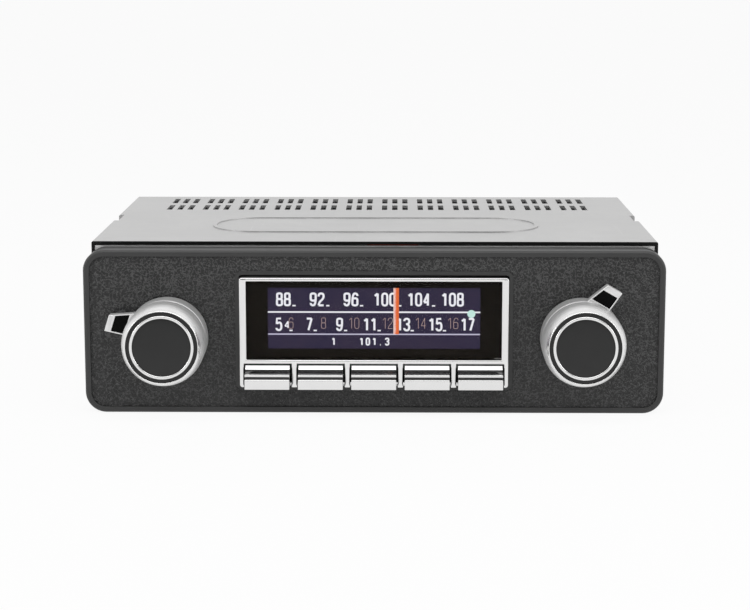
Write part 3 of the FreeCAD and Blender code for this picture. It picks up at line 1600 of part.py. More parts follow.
def make_heat_sink():
    """Extruded aluminium heat sink with upright fins."""
    body = new_body("heat_sink", s.sink_x, s.case_depth / 2, heat_sink_low())
    half = s.sink_wide / 2
    base = new_sketch(body, "XY_Plane")
    draw_rectangle(base, -half, Size(0), s.sink_wide, s.sink_base)
    pad(body, base, s.sink_tall)
    fin = new_sketch(body, "XY_Plane")
    draw_rectangle(fin, -half, s.sink_base, s.fin_thick, s.sink_fin)
    one = pad(body, fin, s.sink_tall)
    pattern = body.newObject("PartDesign::LinearPattern", "fin_pattern")
    pattern.Originals = [one]
    pattern.Direction = (fin, ["H_Axis"])
    bind(pattern, "Length", s.sink_wide - s.fin_thick)
    bind(pattern, "Occurrences", s.fin_count)
    body.Tip = pattern
    reach = s.sink_wide / 2 - s.sink_screw_inset
    holes = new_sketch(body, "XZ_Plane", 1)
    for sign in (-1, 1):
        draw_circle(holes, reach * sign, s.sink_tall / 2, s.screw_radius + s.screw_play)
    pocket(body, holes, s.sink_base + 2)
    access = new_sketch(body, "XZ_Plane", -s.sink_base)
    for sign in (-1, 1):
        draw_circle(access, reach * sign, s.sink_tall / 2, s.screw_head + s.access_play)
    pocket(body, access, s.sink_fin + 1)
    sub_part("heat_sink", body)


def make_support_stud():
    """Stud for the strap that holds up the rear of the case; its shoulder is on the panel."""
    face = s.case_depth / 2
    inside = (s.stud_x, face - s.gauge, s.stud_up)
    bar = rod("stud_bar", (s.stud_x, face, s.stud_up), s.stud_radius, s.stud_out, "rearward")
    neck = rod("stud_neck_bar", inside, stud_neck_radius(), s.gauge, "rearward")
    plate = rod("stud_plate", inside, s.stud_head, s.gauge, "forward")
    sub_part("support_stud", joined("support_stud", bar, neck, plate))


# ---------------------------------------------------------------- build, check and write

def build():
    make_chassis_tray()
    make_top_cover()
    make_weld_nuts()
    make_rear_panel()
    make_faceplate()
    make_face_gasket()
    make_nose_frame()
    make_lens()
    make_display()
    make_nose_housing()
    make_keys()
    make_controls()
    make_main_board()
    make_board_pieces()
    make_cables()
    contacts = [make_aerial_socket()] + make_wiring_socket()
    sub_part("socket_contacts", group("socket_contacts", contacts))
    make_line_sockets()
    make_fuse()
    make_heat_sink()
    make_support_stud()
    doc.recompute()


def check():
    """Stops before anything is written if an object failed or a shape is not sound."""
    for item in doc.Objects:
        if "Invalid" in item.State or "Error" in item.State:
            raise RuntimeError(f"{item.Name} failed: {item.State}")
    for item in SUB_PARTS:
        if item.Shape.isNull() or not item.Shape.isValid() or not item.Shape.Solids:
            raise RuntimeError(f"{item.Label} has no sound shape")


def write():
    os.makedirs("parts", exist_ok=True)
    for item in SUB_PARTS:
        item.Shape.exportStep(f"parts/{item.Label}.step")
    print(len(SUB_PARTS), "sub-parts written")


build()
check()
write()
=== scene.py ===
"""Finish of a retro car radio: chrome nose and controls, grained faceplate, zinc-plated case."""

import math

import bmesh
import bpy
from mathutils import Matrix, Vector, noise


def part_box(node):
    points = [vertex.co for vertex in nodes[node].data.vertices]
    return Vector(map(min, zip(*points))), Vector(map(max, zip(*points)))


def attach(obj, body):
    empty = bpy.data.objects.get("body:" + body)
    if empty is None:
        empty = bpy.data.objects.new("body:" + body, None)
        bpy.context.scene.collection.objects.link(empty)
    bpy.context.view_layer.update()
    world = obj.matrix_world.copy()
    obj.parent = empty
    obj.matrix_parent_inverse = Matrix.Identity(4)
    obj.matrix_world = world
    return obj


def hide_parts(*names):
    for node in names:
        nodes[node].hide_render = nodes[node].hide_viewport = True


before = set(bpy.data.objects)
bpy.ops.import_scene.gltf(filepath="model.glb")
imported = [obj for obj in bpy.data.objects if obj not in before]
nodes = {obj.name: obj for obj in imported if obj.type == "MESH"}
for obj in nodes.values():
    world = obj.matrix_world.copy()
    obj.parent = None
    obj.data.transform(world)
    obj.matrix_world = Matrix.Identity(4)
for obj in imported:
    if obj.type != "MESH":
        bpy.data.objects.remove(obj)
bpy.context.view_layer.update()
mm = 0.001


# ------------------------------------------------------------------ the viewpoint
# A long lens about 65 cm in front of the radio and a little above it, so that the
# faceplate is seen nearly square on and the cover shows as a shallow strip.

eye = bpy.data.cameras.new("viewpoint")
eye.sensor_width = 36.0
eye.lens = 91.9
eye.shift_y = -0.0592
camera = bpy.data.objects.new("viewpoint", eye)
camera.location = (0.00705, -0.6491, 0.1435)
camera.rotation_euler = (math.radians(90 - 9.21), 0, math.radians(0.66))
bpy.context.scene.collection.objects.link(camera)
bpy.context.scene.camera = camera


# ------------------------------------------------------------------ the case's sheet metal
# Cover, tray and rear panel are folded from thin steel and zinc plated. The cover's
# plating is the duller, with a faint crystal pattern and the marks of handling; the
# tray and rear panel are bright, with the fine lines of the rolling mill.


class Field:
    """A value that changes over a surface, so that shader maths reads as maths."""

    def __init__(self, finish, socket):
        self.finish = finish
        self.socket = socket

    def maths(self, operation, *inputs):
        return self.finish.node("Math", {"operation": operation}, dict(enumerate(inputs)))

    def __add__(self, other):
        return self.maths("ADD", self, other)

    def __sub__(self, other):
        return self.maths("SUBTRACT", self, other)

    def __rsub__(self, other):
        return self.maths("SUBTRACT", other, self)

    def __mul__(self, other):
        return self.maths("MULTIPLY", self, other)

    def __pow__(self, power):
        return self.maths("POWER", self, power)

    __radd__ = __add__
    __rmul__ = __mul__

    def larger(self, other):
        return self.maths("MAXIMUM", self, other)

    def below(self, limit):
        return self.maths("LESS_THAN", self, limit)

    def between(self, low, high):
        """0 below low, 1 above high, and an even rise from one to the other."""
        sockets = {"Value": self, "From Min": low, "From Max": high}
        return self.finish.node("MapRange", {"clamp": True}, sockets)


class Nodes:
    """A tree of shader nodes, to which each node is added in one call."""

    def __init__(self, owner):
        owner.use_nodes = True
        self.tree = owner.node_tree

    def feed(self, node, sockets):
        for key, value in sockets.items():
            if isinstance(value, Field):
                self.tree.links.new(value.socket, node.inputs[key])
            else:
                node.inputs[key].default_value = value

    def node(self, kind, settings=None, sockets=None, output=0):
        """Adds a node, sets it up, feeds its sockets, and gives back one of its outputs."""
        made = self.tree.nodes.new("ShaderNode" + kind)
        settings = dict(settings or {})
        stops = settings.pop("stops", None)
        for key, value in settings.items():
            setattr(made, key, value)
        if stops:
            ramp = made.color_ramp.elements
            while len(ramp) < len(stops):
                ramp.new(0.5)
            for element, (position, colour) in zip(ramp, stops):
                element.position = position
                element.color = colour
        self.feed(made, sockets or {})
        return Field(self, made.outputs[output])

    def white_to_eye(self):
        """1 for the lens, for mirrored and for refracted rays, and 0 for light that falls."""
        seen = self.node("LightPath", output="Is Camera Ray")
        for kind in ("Glossy", "Transmission"):
            seen = seen.larger(self.node("LightPath", output=f"Is {kind} Ray"))
        return seen


class Finish(Nodes):
    """One material: a Principled shader and the nodes that feed it."""

    def __init__(self, name, **constants):
        self.material = bpy.data.materials.new(name)
        super().__init__(self.material)
        self.shader = self.tree.nodes["Principled BSDF"]
        self.set(**constants)
        self.place = self.node("TexCoord", output="Object")

    def stretched(self, x, y, z):
        """Object coordinates with one or more directions drawn out."""
        return self.node("Mapping", None, {"Vector": self.place, "Scale": (x, y, z)})

    def noise(self, size, detail=2.0, place=None, roughness=0.5):
        """Soft noise whose patches are about size metres across."""
        sockets = {"Vector": place or self.place, "Scale": 1 / size, "Detail": detail}
        return self.node("TexNoise", None, {**sockets, "Roughness": roughness})

    def cells(self, size, feature="F1", output="Distance", place=None):
        sockets = {"Vector": place or self.place, "Scale": 1 / size}
        return self.node("TexVoronoi", {"feature": feature}, sockets, output)

    def blend(self, factor, low, high):
        """A colour between two colours."""
        return self.node("Mix", {"data_type": "RGBA"}, {0: factor, 6: low, 7: high}, 2)

    def relief(self, height, depth):
        """Bump from a height of 0 to 1, depth metres deep."""
        sockets = {"Height": height, "Distance": depth, "Strength": 1.0}
        self.set(Normal=self.node("Bump", None, sockets))

    def set(self, **sockets):
        self.feed(self.shader, {key.replace("_", " "): value for key, value in sockets.items()})
        return self


def grey(level, warmth=0.0):
    return (level * (1 + warmth), level, level * (1 - warmth), 1)


def paint(finish, *names):
    """Puts a finish on CAD nodes that keep their own shape."""
    for name in names:
        slots = nodes[name].data.materials
        slots.clear()
        slots.append(finish.material)


def worn_zinc():
    zinc = Finish("zinc_cover", Metallic=0.85)
    crystal = zinc.cells(4.5 * mm, output="Color")
    crystal = zinc.node("SeparateColor", None, {0: crystal})
    cloud = zinc.noise(38 * mm, 3)
    grain = zinc.noise(0.35 * mm, 3)
    lines = zinc.noise(0.5 * mm, 2, zinc.stretched(0.05, 1, 1))
    scratches = zinc.noise(1.2 * mm, 2, zinc.stretched(1, 0.02, 1)).between(0.69, 0.74)
    shade = crystal * 0.16 + cloud * 0.42 + grain * 0.22 + lines * 0.2
    cover_low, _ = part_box("top_cover")
    depth = zinc.node("SeparateXYZ", None, {0: zinc.place}, "Y")
    # Painted shadow: the mask named cut paints a near-black line along the cover's front edge,
    # standing in for the shade of the gap over the front wall.
    cut = 1 - depth.between(cover_low.y + 0.02 * mm, cover_low.y + 0.05 * mm)
    faces = zinc.blend(shade, grey(0.40), grey(0.62, 0.004))
    zinc.set(Base_Color=zinc.blend(cut, faces, grey(0.015)))
    zinc.set(Roughness=0.36 + 0.1 * cloud + 0.06 * crystal - 0.08 * scratches)
    zinc.relief(grain * 0.5 + lines * 0.35 - scratches * 0.4, 0.012 * mm)
    return zinc


def bright_zinc(name, metallic):
    zinc = Finish(name, Metallic=metallic)
    rolled = zinc.noise(0.3 * mm, 3, zinc.stretched(0.03, 1, 1))
    cloud = zinc.noise(22 * mm, 3)
    stains = zinc.noise(6 * mm, 4).between(0.6, 0.75)
    zinc.set(Base_Color=zinc.blend(cloud * 0.5 + rolled * 0.5, grey(0.70), grey(0.90, 0.006)))
    zinc.set(Roughness=0.24 + 0.14 * rolled + 0.12 * stains)
    zinc.relief(rolled, 0.008 * mm)
    return zinc


paint(worn_zinc(), "top_cover")
paint(bright_zinc("tray_zinc", 0.45), "chassis_tray")
paint(bright_zinc("panel_zinc", 0.9), "rear_panel")


# ------------------------------------------------------------------ fasteners and turned steel
# Screws, nuts, stud, shafts and rear sockets are nickel-plated steel, turned or
# cold-headed, with fine lines and slightly cloudy plating.


def plated_steel(name, level, roughness):
    steel = Finish(name, Metallic=1.0)
    turned = steel.noise(0.22 * mm, 2, steel.stretched(0.2, 1, 0.2))
    cloud = steel.noise(3 * mm, 3)
    steel.set(Base_Color=steel.blend(cloud, grey(level * 0.82), grey(level)))
    steel.set(Roughness=roughness + 0.12 * turned + 0.08 * cloud)
    steel.relief(turned, 0.01 * mm)
    return steel


nickel = plated_steel("nickel_steel", 0.72, 0.22)
paint(nickel, "small_screws", "shaft_nuts", "support_stud", "weld_nuts")
paint(nickel, "line_sockets", "aerial_socket")
for side in ("left", "right"):
    paint(nickel, side + "_outer_shaft", side + "_inner_shaft")
    paint(plated_steel(side + "_housing_casting", 0.5, 0.42), side + "_control_housing")


# ------------------------------------------------------------------ faceplate
# One black plastic moulding. Its rim and the lip around the nose are smooth with a
# soft gloss, and the sunken field between them has a pebbled leather grain.

RIM = 1.9 * mm
RECESS = 0.7 * mm
LIP = 1.2 * mm
NOSE_GAP = 0.3 * mm
PEBBLE = 1.15 * mm
GRAIN_DEPTH = 0.2 * mm
GRAIN_STEP = 0.36 * mm
TUCK = 0.45 * mm
FIELD_CORNER = 4.6 * mm + TUCK
LIP_CORNER = 1.5 * mm
SHAFT_HOLE = 6.6 * mm
SKIN = 0.3 * mm

face_low, face_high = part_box("faceplate")
nose_low, nose_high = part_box("nose_frame")


def smooth_black():
    plastic = Finish("smooth_black", Specular_IOR_Level=0.45)
    fine = plastic.noise(0.16 * mm, 2)
    cloud = plastic.noise(14 * mm, 3)
    plastic.set(Base_Color=plastic.blend(cloud, grey(0.030), grey(0.040)))
    plastic.set(Roughness=0.36 + 0.1 * fine + 0.06 * cloud)
    plastic.relief(fine, 0.006 * mm)
    return plastic


def grained_black():
    plastic = Finish("grained_black", Specular_IOR_Level=0.5)
    pebble = plastic.node("Attribute", {"attribute_name": "pebble"}, output="Fac")
    wrinkle = plastic.noise(0.3 * mm, 3, roughness=0.6)
    swirl = plastic.noise(1.25 * mm, 2, roughness=0.6) - 0.5
    ridge_and_painted_highlight = 1 - swirl.maths("ABSOLUTE", swirl).between(0.0, 0.055)
    cloud = plastic.noise(18 * mm, 2)
    # Painted highlight and shade: the thin ridge lines are lightened where lamps would glint on the
    # grain, and the pebble height darkens the creases; the cloud is random tone.
    shade = pebble * 0.15 + ridge_and_painted_highlight * 0.75 + cloud * 0.1
    plastic.set(Base_Color=plastic.blend(shade, grey(0.001), grey(0.085)))
    plastic.set(Roughness=0.40 - 0.14 * ridge_and_painted_highlight + 0.1 * wrinkle)
    plastic.relief(ridge_and_painted_highlight * 0.8 + wrinkle * 0.2, 0.12 * mm)
    return plastic


def shape(name, bm, angle=35):
    """Turns a bmesh into an object, smooth except at edges sharper than the angle."""
    mesh = bpy.data.meshes.new(name)
    bm.to_mesh(mesh)
    bm.free()
    mesh.shade_smooth()
    mesh.set_sharp_from_angle(angle=math.radians(angle))
    piece = bpy.data.objects.new(name, mesh)
    bpy.context.scene.collection.objects.link(piece)
    return piece


def fit(piece, body, slot, finish, *replaced):
    """Finishes a piece, hangs it on its body and lets it stand for CAD nodes."""
    piece.data.materials.append(finish.material)
    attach(piece, body)
    if replaced:
        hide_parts(*replaced)
    return piece


def pebble_height(x, z):
    """Height of the leather grain, 0 in a crease and 1 on a pebble."""
    spot = Vector((x, 0, z)) / PEBBLE
    spot += noise.noise_vector(spot * 0.9) * 0.35
    near, next_near = noise.voronoi(spot)[0][:2]
    rise = min((next_near - near) / 0.42, 1.0)
    swell = 0.75 + 0.25 * noise.noise(spot * 0.45)
    return rise * (2 - rise) * swell


def in_rounded(x, z, centre, half_x, half_z, radius):
    """How far a point lies inside a rounded rectangle; negative outside."""
    dx = abs(x - centre[0]) - (half_x - radius)
    dz = abs(z - centre[1]) - (half_z - radius)
    outside = math.hypot(max(dx, 0), max(dz, 0)) + min(max(dx, dz), 0)
    return radius - outside


def upright_grid(middle, half_x, half_z, columns=1, rows=1):
    """A flat grid that faces the driver."""
    bm = bmesh.new()
    bmesh.ops.create_grid(bm, x_segments=columns, y_segments=rows, size=1)
    bmesh.ops.scale(bm, vec=(half_x, half_z, 1), verts=bm.verts)
    upright = Matrix.Rotation(math.radians(90), 4, "X")
    bmesh.ops.transform(bm, matrix=upright, verts=bm.verts)
    bmesh.ops.translate(bm, vec=middle, verts=bm.verts)
    return bm


def grain_skin():
    """The grained surface of the field, tucked a little under the rim, lip and washers."""
    centre = ((face_low.x + face_high.x) / 2, (face_low.z + face_high.z) / 2)
    half_x = (face_high.x - face_low.x) / 2 - RIM + TUCK
    half_z = (face_high.z - face_low.z) / 2 - RIM + TUCK
    nose_centre = ((nose_low.x + nose_high.x) / 2, (nose_low.z + nose_high.z) / 2)
    nose_half_x = (nose_high.x - nose_low.x) / 2 + NOSE_GAP + LIP - TUCK
    nose_half_z = (nose_high.z - nose_low.z) / 2 + NOSE_GAP + LIP - TUCK
    shafts = []
    for side in ("left", "right"):
        low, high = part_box(side + "_inner_shaft")
        shafts.append(((low.x + high.x) / 2, (low.z + high.z) / 2))
    columns, rows = round(2 * half_x / GRAIN_STEP), round(2 * half_z / GRAIN_STEP)
    middle = (centre[0], face_low.y + RECESS, centre[1])
    bm = upright_grid(middle, half_x, half_z, columns, rows)
    layer = bm.verts.layers.float.new("pebble")
    spare = []
    for vert in bm.verts:
        x, z = vert.co.x, vert.co.z
        outside = in_rounded(x, z, centre, half_x, half_z, FIELD_CORNER) < -GRAIN_STEP
        in_nose = in_rounded(x, z, nose_centre, nose_half_x, nose_half_z, LIP_CORNER) > 0
        in_hole = any(math.hypot(x - sx, z - sz) < SHAFT_HOLE for sx, sz in shafts)
        if outside or in_nose or in_hole:
            spare.append(vert)
            continue
        vert[layer] = pebble_height(x, z)
        vert.co.y -= 0.01 * mm + GRAIN_DEPTH * vert[layer]
    bmesh.ops.delete(bm, geom=spare, context="VERTS")
    skin = shape("faceplate_grain", bm, 180)
    wall = skin.modifiers.new("thickness", "SOLIDIFY")
    wall.thickness = SKIN
    wall.offset = -1
    return skin


paint(smooth_black(), "faceplate")
fit(grain_skin(), "case", "grained_black", grained_black())


# ------------------------------------------------------------------ gasket
# A ring of closed-cell foam squeezed between faceplate and case, die-cut, with the
# open pores of the cut edge.

foam = Finish("foam", Roughness=0.95)
pores = foam.cells(0.5 * mm)
foam.set(Base_Color=foam.blend(pores, grey(0.008), grey(0.035)))
foam.relief(pores, 0.12 * mm)
paint(foam, "face_gasket")


# ------------------------------------------------------------------ nose frame
# Chromed plastic: one moulding that frames the window and runs down in posts between
# the keys. Every front edge is softly broken, as plating needs.

FRAME_BREAK = 0.32 * mm
CORNER = 0.9 * mm
SIDE_BAR = 2.15 * mm
TOP_BAR = 1.15 * mm
WINDOW_HEIGHT = 24.7 * mm
MID_BAR = 1.3 * mm
SILL = 1.2 * mm
SILL_BACK = 2.7 * mm

window_low = nose_high.z - TOP_BAR - WINDOW_HEIGHT
key_boxes = [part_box(f"key_{number}") for number in range(1, 6)]
key_gap = 0.4 * mm


def plated(name="chrome", level=0.80, roughness=0.07):
    """Chrome plating over plastic, with a trace of haze and fine wiping marks."""
    chrome = Finish(name, Metallic=1.0)
    haze = chrome.noise(5 * mm, 3)
    fine = chrome.noise(0.12 * mm, 2)
    wiped = chrome.noise(0.5 * mm, 2, chrome.stretched(0.12, 1, 1)).between(0.55, 0.8)
    chrome.set(Base_Color=chrome.blend(haze, grey(level * 0.95), grey(level, 0.005)))
    chrome.set(Roughness=roughness + 0.05 * haze + 0.04 * wiped + 0.03 * fine)
    chrome.relief(fine * 0.5 + haze * 0.5, 0.0025 * mm)
    return chrome


chrome = plated()


def cut_through(bm, planes):
    """Splits every face at some planes, each a point and a normal."""
    for point, normal in planes:
        geom = bm.verts[:] + bm.edges[:] + bm.faces[:]
        bmesh.ops.bisect_plane(bm, geom=geom, dist=1e-7, plane_co=point, plane_no=normal)


def pull(bm, faces, way, keep=True):
    """Draws faces out along a vector, with walls behind them."""
    made = bmesh.ops.extrude_face_region(bm, geom=faces, use_keep_orig=keep)
    moved = [item for item in made["geom"] if isinstance(item, bmesh.types.BMVert)]
    bmesh.ops.translate(bm, vec=way, verts=moved)


def round_edges(bm, edges, offset, segments=3, clamp=True):
    bmesh.ops.bevel(
        bm,
        geom=edges,
        offset=offset,
        segments=segments,
        profile=0.5,
        affect="EDGES",
        material=-1,
        clamp_overlap=clamp,
    )


def nose_frame():
    """A plate with its openings cut out, pulled forward, with a sill set back under the keys."""
    half_x, half_z = (nose_high.x - nose_low.x) / 2, (nose_high.z - nose_low.z) / 2
    middle = (nose_low.x + half_x, nose_high.y, nose_low.z + half_z)
    bm = upright_grid(middle, half_x, half_z)
    slots = [(low.x - key_gap, high.x + key_gap) for low, high in key_boxes]
    window = (nose_low.x + SIDE_BAR, nose_high.x - SIDE_BAR)
    sill_top, key_top = nose_low.z + SILL, window_low - MID_BAR
    uprights = [x for slot in slots for x in slot] + list(window)
    levels = [sill_top, key_top, window_low, nose_high.z - TOP_BAR]
    cut_through(bm, [((x, 0, 0), (1, 0, 0)) for x in uprights])
    cut_through(bm, [((0, 0, z), (0, 0, 1)) for z in levels])

    def within(face, low_x, high_x, low_z, high_z):
        spot = face.calc_center_median()
        return low_x < spot.x < high_x and low_z < spot.z < high_z

    open_faces = [
        face
        for face in bm.faces
        if within(face, *window, window_low, nose_high.z - TOP_BAR)
        or any(within(face, *slot, sill_top, key_top) for slot in slots)
    ]
    bmesh.ops.delete(bm, geom=open_faces, context="FACES")
    level_y = nose_low.y + SILL_BACK
    pull(bm, bm.faces[:], (0, level_y - nose_high.y, 0))
    raised = [
        face
        for face in bm.faces
        if all(abs(vert.co.y - level_y) < 1e-7 for vert in face.verts)
        and not any(within(face, *slot, 0, sill_top) for slot in slots)
    ]
    pull(bm, raised, (0, -SILL_BACK, 0), keep=False)
    bmesh.ops.remove_doubles(bm, verts=bm.verts, dist=1e-7)
    bmesh.ops.recalc_face_normals(bm, faces=bm.faces)

    def at_corner(vert):
        aside, up = abs(vert.co.x - middle[0]), abs(vert.co.z - middle[2])
        return half_x - aside < 1e-7 and half_z - up < 1e-7

    corners = [edge for edge in bm.edges if all(at_corner(vert) for vert in edge.verts)]
    round_edges(bm, corners, CORNER, 6, clamp=False)
    edges = [
        edge
        for edge in bm.edges
        if edge.is_manifold
        and edge.calc_face_angle(0) > 0.8
        and max(vert.co.y for vert in edge.verts) < level_y + 1e-6
    ]
    round_edges(bm, edges, FRAME_BREAK)
    return shape("nose_frame_chrome", bm)


fit(nose_frame(), "case", "chrome", chrome, "nose_frame")


# ------------------------------------------------------------------ push keys
# Five chromed keys. Each has a flat front, a thin groove over it, a bead, and a hollow
# top that sweeps back and up under the frame, moulded with a stem for its switch.

FACE = 3.0 * mm
GROOVE = 0.75 * mm
SCOOP_RADIUS = 3.9 * mm
SCOOP_UP = 8.55 * mm
SCOOP_BACK = 0.25 * mm
KEY_DEPTH = 6.05 * mm
KEY_BREAK = 0.16 * mm
STEM_WIDTH, STEM_HEIGHT = 5 * mm, 3 * mm
# Edge and heights of the near-black bands painted on the keys' chrome as painted reflection.
DARK_BAND_EDGE = 0.03 * mm
DARK_BAND_FOOT = FACE + 0.12 * mm
DARK_BAND_TOP = FACE + GROOVE * 0.85
HOLLOW_FOOT = 5.75 * mm


def push_key(number, low, high):
    """The key's side outline, drawn across and rounded along every edge."""
    bm = bmesh.new()
    rise = high.z - low.z
    bead_top = SCOOP_UP - math.sqrt(SCOOP_RADIUS**2 - (GROOVE / 2 - SCOOP_BACK) ** 2)
    reach = math.sqrt(SCOOP_RADIUS**2 - (SCOOP_UP - rise) ** 2) + SCOOP_BACK
    outline = [
        (KEY_DEPTH, rise),
        (KEY_DEPTH, 0),
        (0, 0),
        (0, FACE),
        (GROOVE, FACE + GROOVE * 0.35),
        (GROOVE, FACE + GROOVE),
        (GROOVE / 2, FACE + GROOVE * 1.25),
        (GROOVE / 2, bead_top),
    ]
    verts = [bm.verts.new((low.x, low.y + back, low.z + up)) for back, up in outline]
    for first, second in zip(verts, verts[1:]):
        bm.edges.new((first, second))
    swept = math.asin((reach - SCOOP_BACK) / SCOOP_RADIUS)
    swept -= math.asin((GROOVE / 2 - SCOOP_BACK) / SCOOP_RADIUS)
    bmesh.ops.spin(
        bm,
        geom=[verts[-1]],
        cent=(low.x, low.y + SCOOP_BACK, low.z + SCOOP_UP),
        axis=(1, 0, 0),
        angle=swept,
        steps=14,
    )
    ends = [vert for vert in bm.verts if len(vert.link_edges) == 1]
    bm.edges.new(ends)
    bmesh.ops.remove_doubles(bm, verts=bm.verts, dist=1e-7)
    bmesh.ops.contextual_create(bm, geom=bm.edges[:])
    pull(bm, bm.faces[:], (high.x - low.x, 0, 0))
    bmesh.ops.recalc_face_normals(bm, faces=bm.faces)
    sharp = [edge for edge in bm.edges if edge.calc_face_angle(0) > 0.5]
    round_edges(bm, sharp, KEY_BREAK)
    stem = bmesh.ops.create_cube(bm, size=1)["verts"]
    stem_low, stem_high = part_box(f"key_plunger_{number}")
    deep = high.y - (low.y + KEY_DEPTH)
    bmesh.ops.scale(bm, vec=(STEM_WIDTH, deep, STEM_HEIGHT), verts=stem)
    middle = (stem_low + stem_high) / 2
    bmesh.ops.translate(bm, vec=(middle.x, high.y - deep / 2, middle.z), verts=stem)
    return shape(f"push_key_{number}", bm)


def key_chrome():
    """The frame's plating, with near-black non-metal bands in the groove and at the foot of the
    hollow as painted reflection, and the top of the hollow darkened as painted shade.
    """
    plating = plated("key_chrome")
    low, _ = key_boxes[0]
    rise = plating.node("SeparateXYZ", None, {0: plating.place}, "Z") - low.z
    depth = plating.node("SeparateXYZ", None, {0: plating.place}, "Y") - low.y

    def past(field, limit):
        return field.between(limit, limit + DARK_BAND_EDGE)

    # Painted reflection: the groove and the foot of the hollow are coloured near-black and made
    # non-metal, standing in for the dark reflections in the curved chrome.
    groove = past(rise, DARK_BAND_FOOT) - past(rise, DARK_BAND_TOP)
    hollow = past(depth, GROOVE * 0.9) - past(rise, HOLLOW_FOOT)
    lacquer_and_painted_reflection = (groove * depth.between(0.2 * mm, 0.3 * mm)).larger(hollow).larger(0)
    fine = plating.noise(0.2 * mm, 2)
    black = plating.blend(fine, grey(0.008), grey(0.02))
    haze = plating.noise(5 * mm, 3)
    # Painted shade: the top of the hollow, tucked under the frame, is darkened from bright chrome
    # to mid grey.
    shaded = rise.between(5.7 * mm, 6.3 * mm)
    bright = plating.blend(haze, grey(0.74), grey(0.80, 0.005))
    bright = plating.blend(shaded, bright, grey(0.42))
    plating.set(Base_Color=plating.blend(lacquer_and_painted_reflection, bright, black), Metallic=1 - lacquer_and_painted_reflection)
    return plating


keys_finish = key_chrome()
for number, (low, high) in enumerate(key_boxes, start=1):
    piece = push_key(number, low, high)
    fit(piece, f"push_key_{number}", "chrome", keys_finish, f"key_{number}")


# ------------------------------------------------------------------ black mouldings inside
# The nose housing, the key plungers, the wiring socket and the small switches are plain
# black nylon straight from the mould, slightly satin.

nylon = Finish("black_nylon", Specular_IOR_Level=0.4)
flow = nylon.noise(7 * mm, 3)
spark = nylon.noise(0.14 * mm, 2)
nylon.set(Base_Color=nylon.blend(flow, grey(0.018), grey(0.032)))
nylon.set(Roughness=0.42 + 0.18 * spark)
nylon.relief(spark, 0.012 * mm)
paint(nylon, "nose_housing", "wiring_socket", "key_switches", "push_switches", "small_chips")
paint(nylon, "amplifier_chip", "left_rotor", "right_rotor")
paint(nylon, *[f"key_plunger_{number}" for number in range(1, 6)])


# ------------------------------------------------------------------ window
# A flat pane of smoked clear plastic, held behind the frame, with a black border
# printed on its back that leaves only the lit picture free.

BORDER = 0.06 * mm
PICTURE_WIDTH = 66.0 * mm
PICTURE_LOW = 20.9 * mm
PICTURE_TOP = PICTURE_LOW + 19.2 * mm

pane = Finish("smoked_pane", Transmission_Weight=1.0, IOR=1.08)
smears = pane.noise(18 * mm, 3)
pane.set(Base_Color=pane.blend(smears, grey(0.86, 0.015), grey(0.93, 0.01)))
pane.set(Roughness=0.01 + 0.03 * smears)
paint(pane, "dial_lens")

print_black = Finish("printed_border", Specular_IOR_Level=0.1)
ink = print_black.noise(0.2 * mm, 3)
print_black.set(Base_Color=print_black.blend(ink, grey(0.005, 0.3), grey(0.009, 0.3)))
print_black.set(Roughness=0.5 + 0.2 * ink)

lens_low, lens_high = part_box("dial_lens")
picture_x = (lens_low.x + lens_high.x) / 2


def upright_plate(bm, low_x, high_x, low_z, high_z, front, back):
    """A plate that faces the driver, between its edges."""
    verts = bmesh.ops.create_cube(bm, size=1)["verts"]
    bmesh.ops.scale(bm, vec=(high_x - low_x, back - front, high_z - low_z), verts=verts)
    middle = ((low_x + high_x) / 2, (front + back) / 2, (low_z + high_z) / 2)
    bmesh.ops.translate(bm, vec=middle, verts=verts)
    return verts


def printed_border():
    bm = bmesh.new()
    edge = 0.05 * mm
    half = PICTURE_WIDTH / 2
    bounds = (lens_low.x + edge, lens_high.x - edge, lens_low.z + edge, lens_high.z - edge)
    front, back = lens_high.y + 0.01 * mm, lens_high.y + 0.01 * mm + BORDER
    upright_plate(bm, *bounds, front, back)
    cut_through(bm, [((picture_x + sign * half, 0, 0), (1, 0, 0)) for sign in (-1, 1)])
    cut_through(bm, [((0, 0, z), (0, 0, 1)) for z in (PICTURE_LOW, PICTURE_TOP)])
    inner = [
        face
        for face in bm.faces
        if abs(face.normal.y) > 0.9
        and abs(face.calc_center_median().x - picture_x) < half - 1e-6
        and PICTURE_LOW < face.calc_center_median().z < PICTURE_TOP
    ]
    rims = [edge for face in inner for edge in face.edges]
    bmesh.ops.delete(bm, geom=inner, context="FACES_ONLY")
    bmesh.ops.bridge_loops(bm, edges=rims)
    return shape("printed_border", bm)


fit(printed_border(), "case", "smoked_lens", print_black)


# ------------------------------------------------------------------ display
# A lit picture that imitates a dial: a dark violet-blue ground, two scale lines, white
# and faint figures, an orange pointer and a pale dot, all flat on the display's glass.

display_low, display_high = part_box("display_module")
ground_y = display_low.y - 0.02 * mm
ink_y = display_low.y - 0.05 * mm


def lit(name, colour, strength):
    """A lit area of the display; the light is a little uneven, as in a real panel."""
    glow = Finish(name, Roughness=0.5, Specular_IOR_Level=0.05, Emission_Strength=strength)
    uneven = glow.noise(4 * mm, 2)
    dim = tuple(channel * 0.86 for channel in colour[:3]) + (1,)
    glow.set(Base_Color=(0.004, 0.004, 0.006, 1))
    glow.set(Emission_Color=glow.blend(uneven, dim, colour))
    return glow


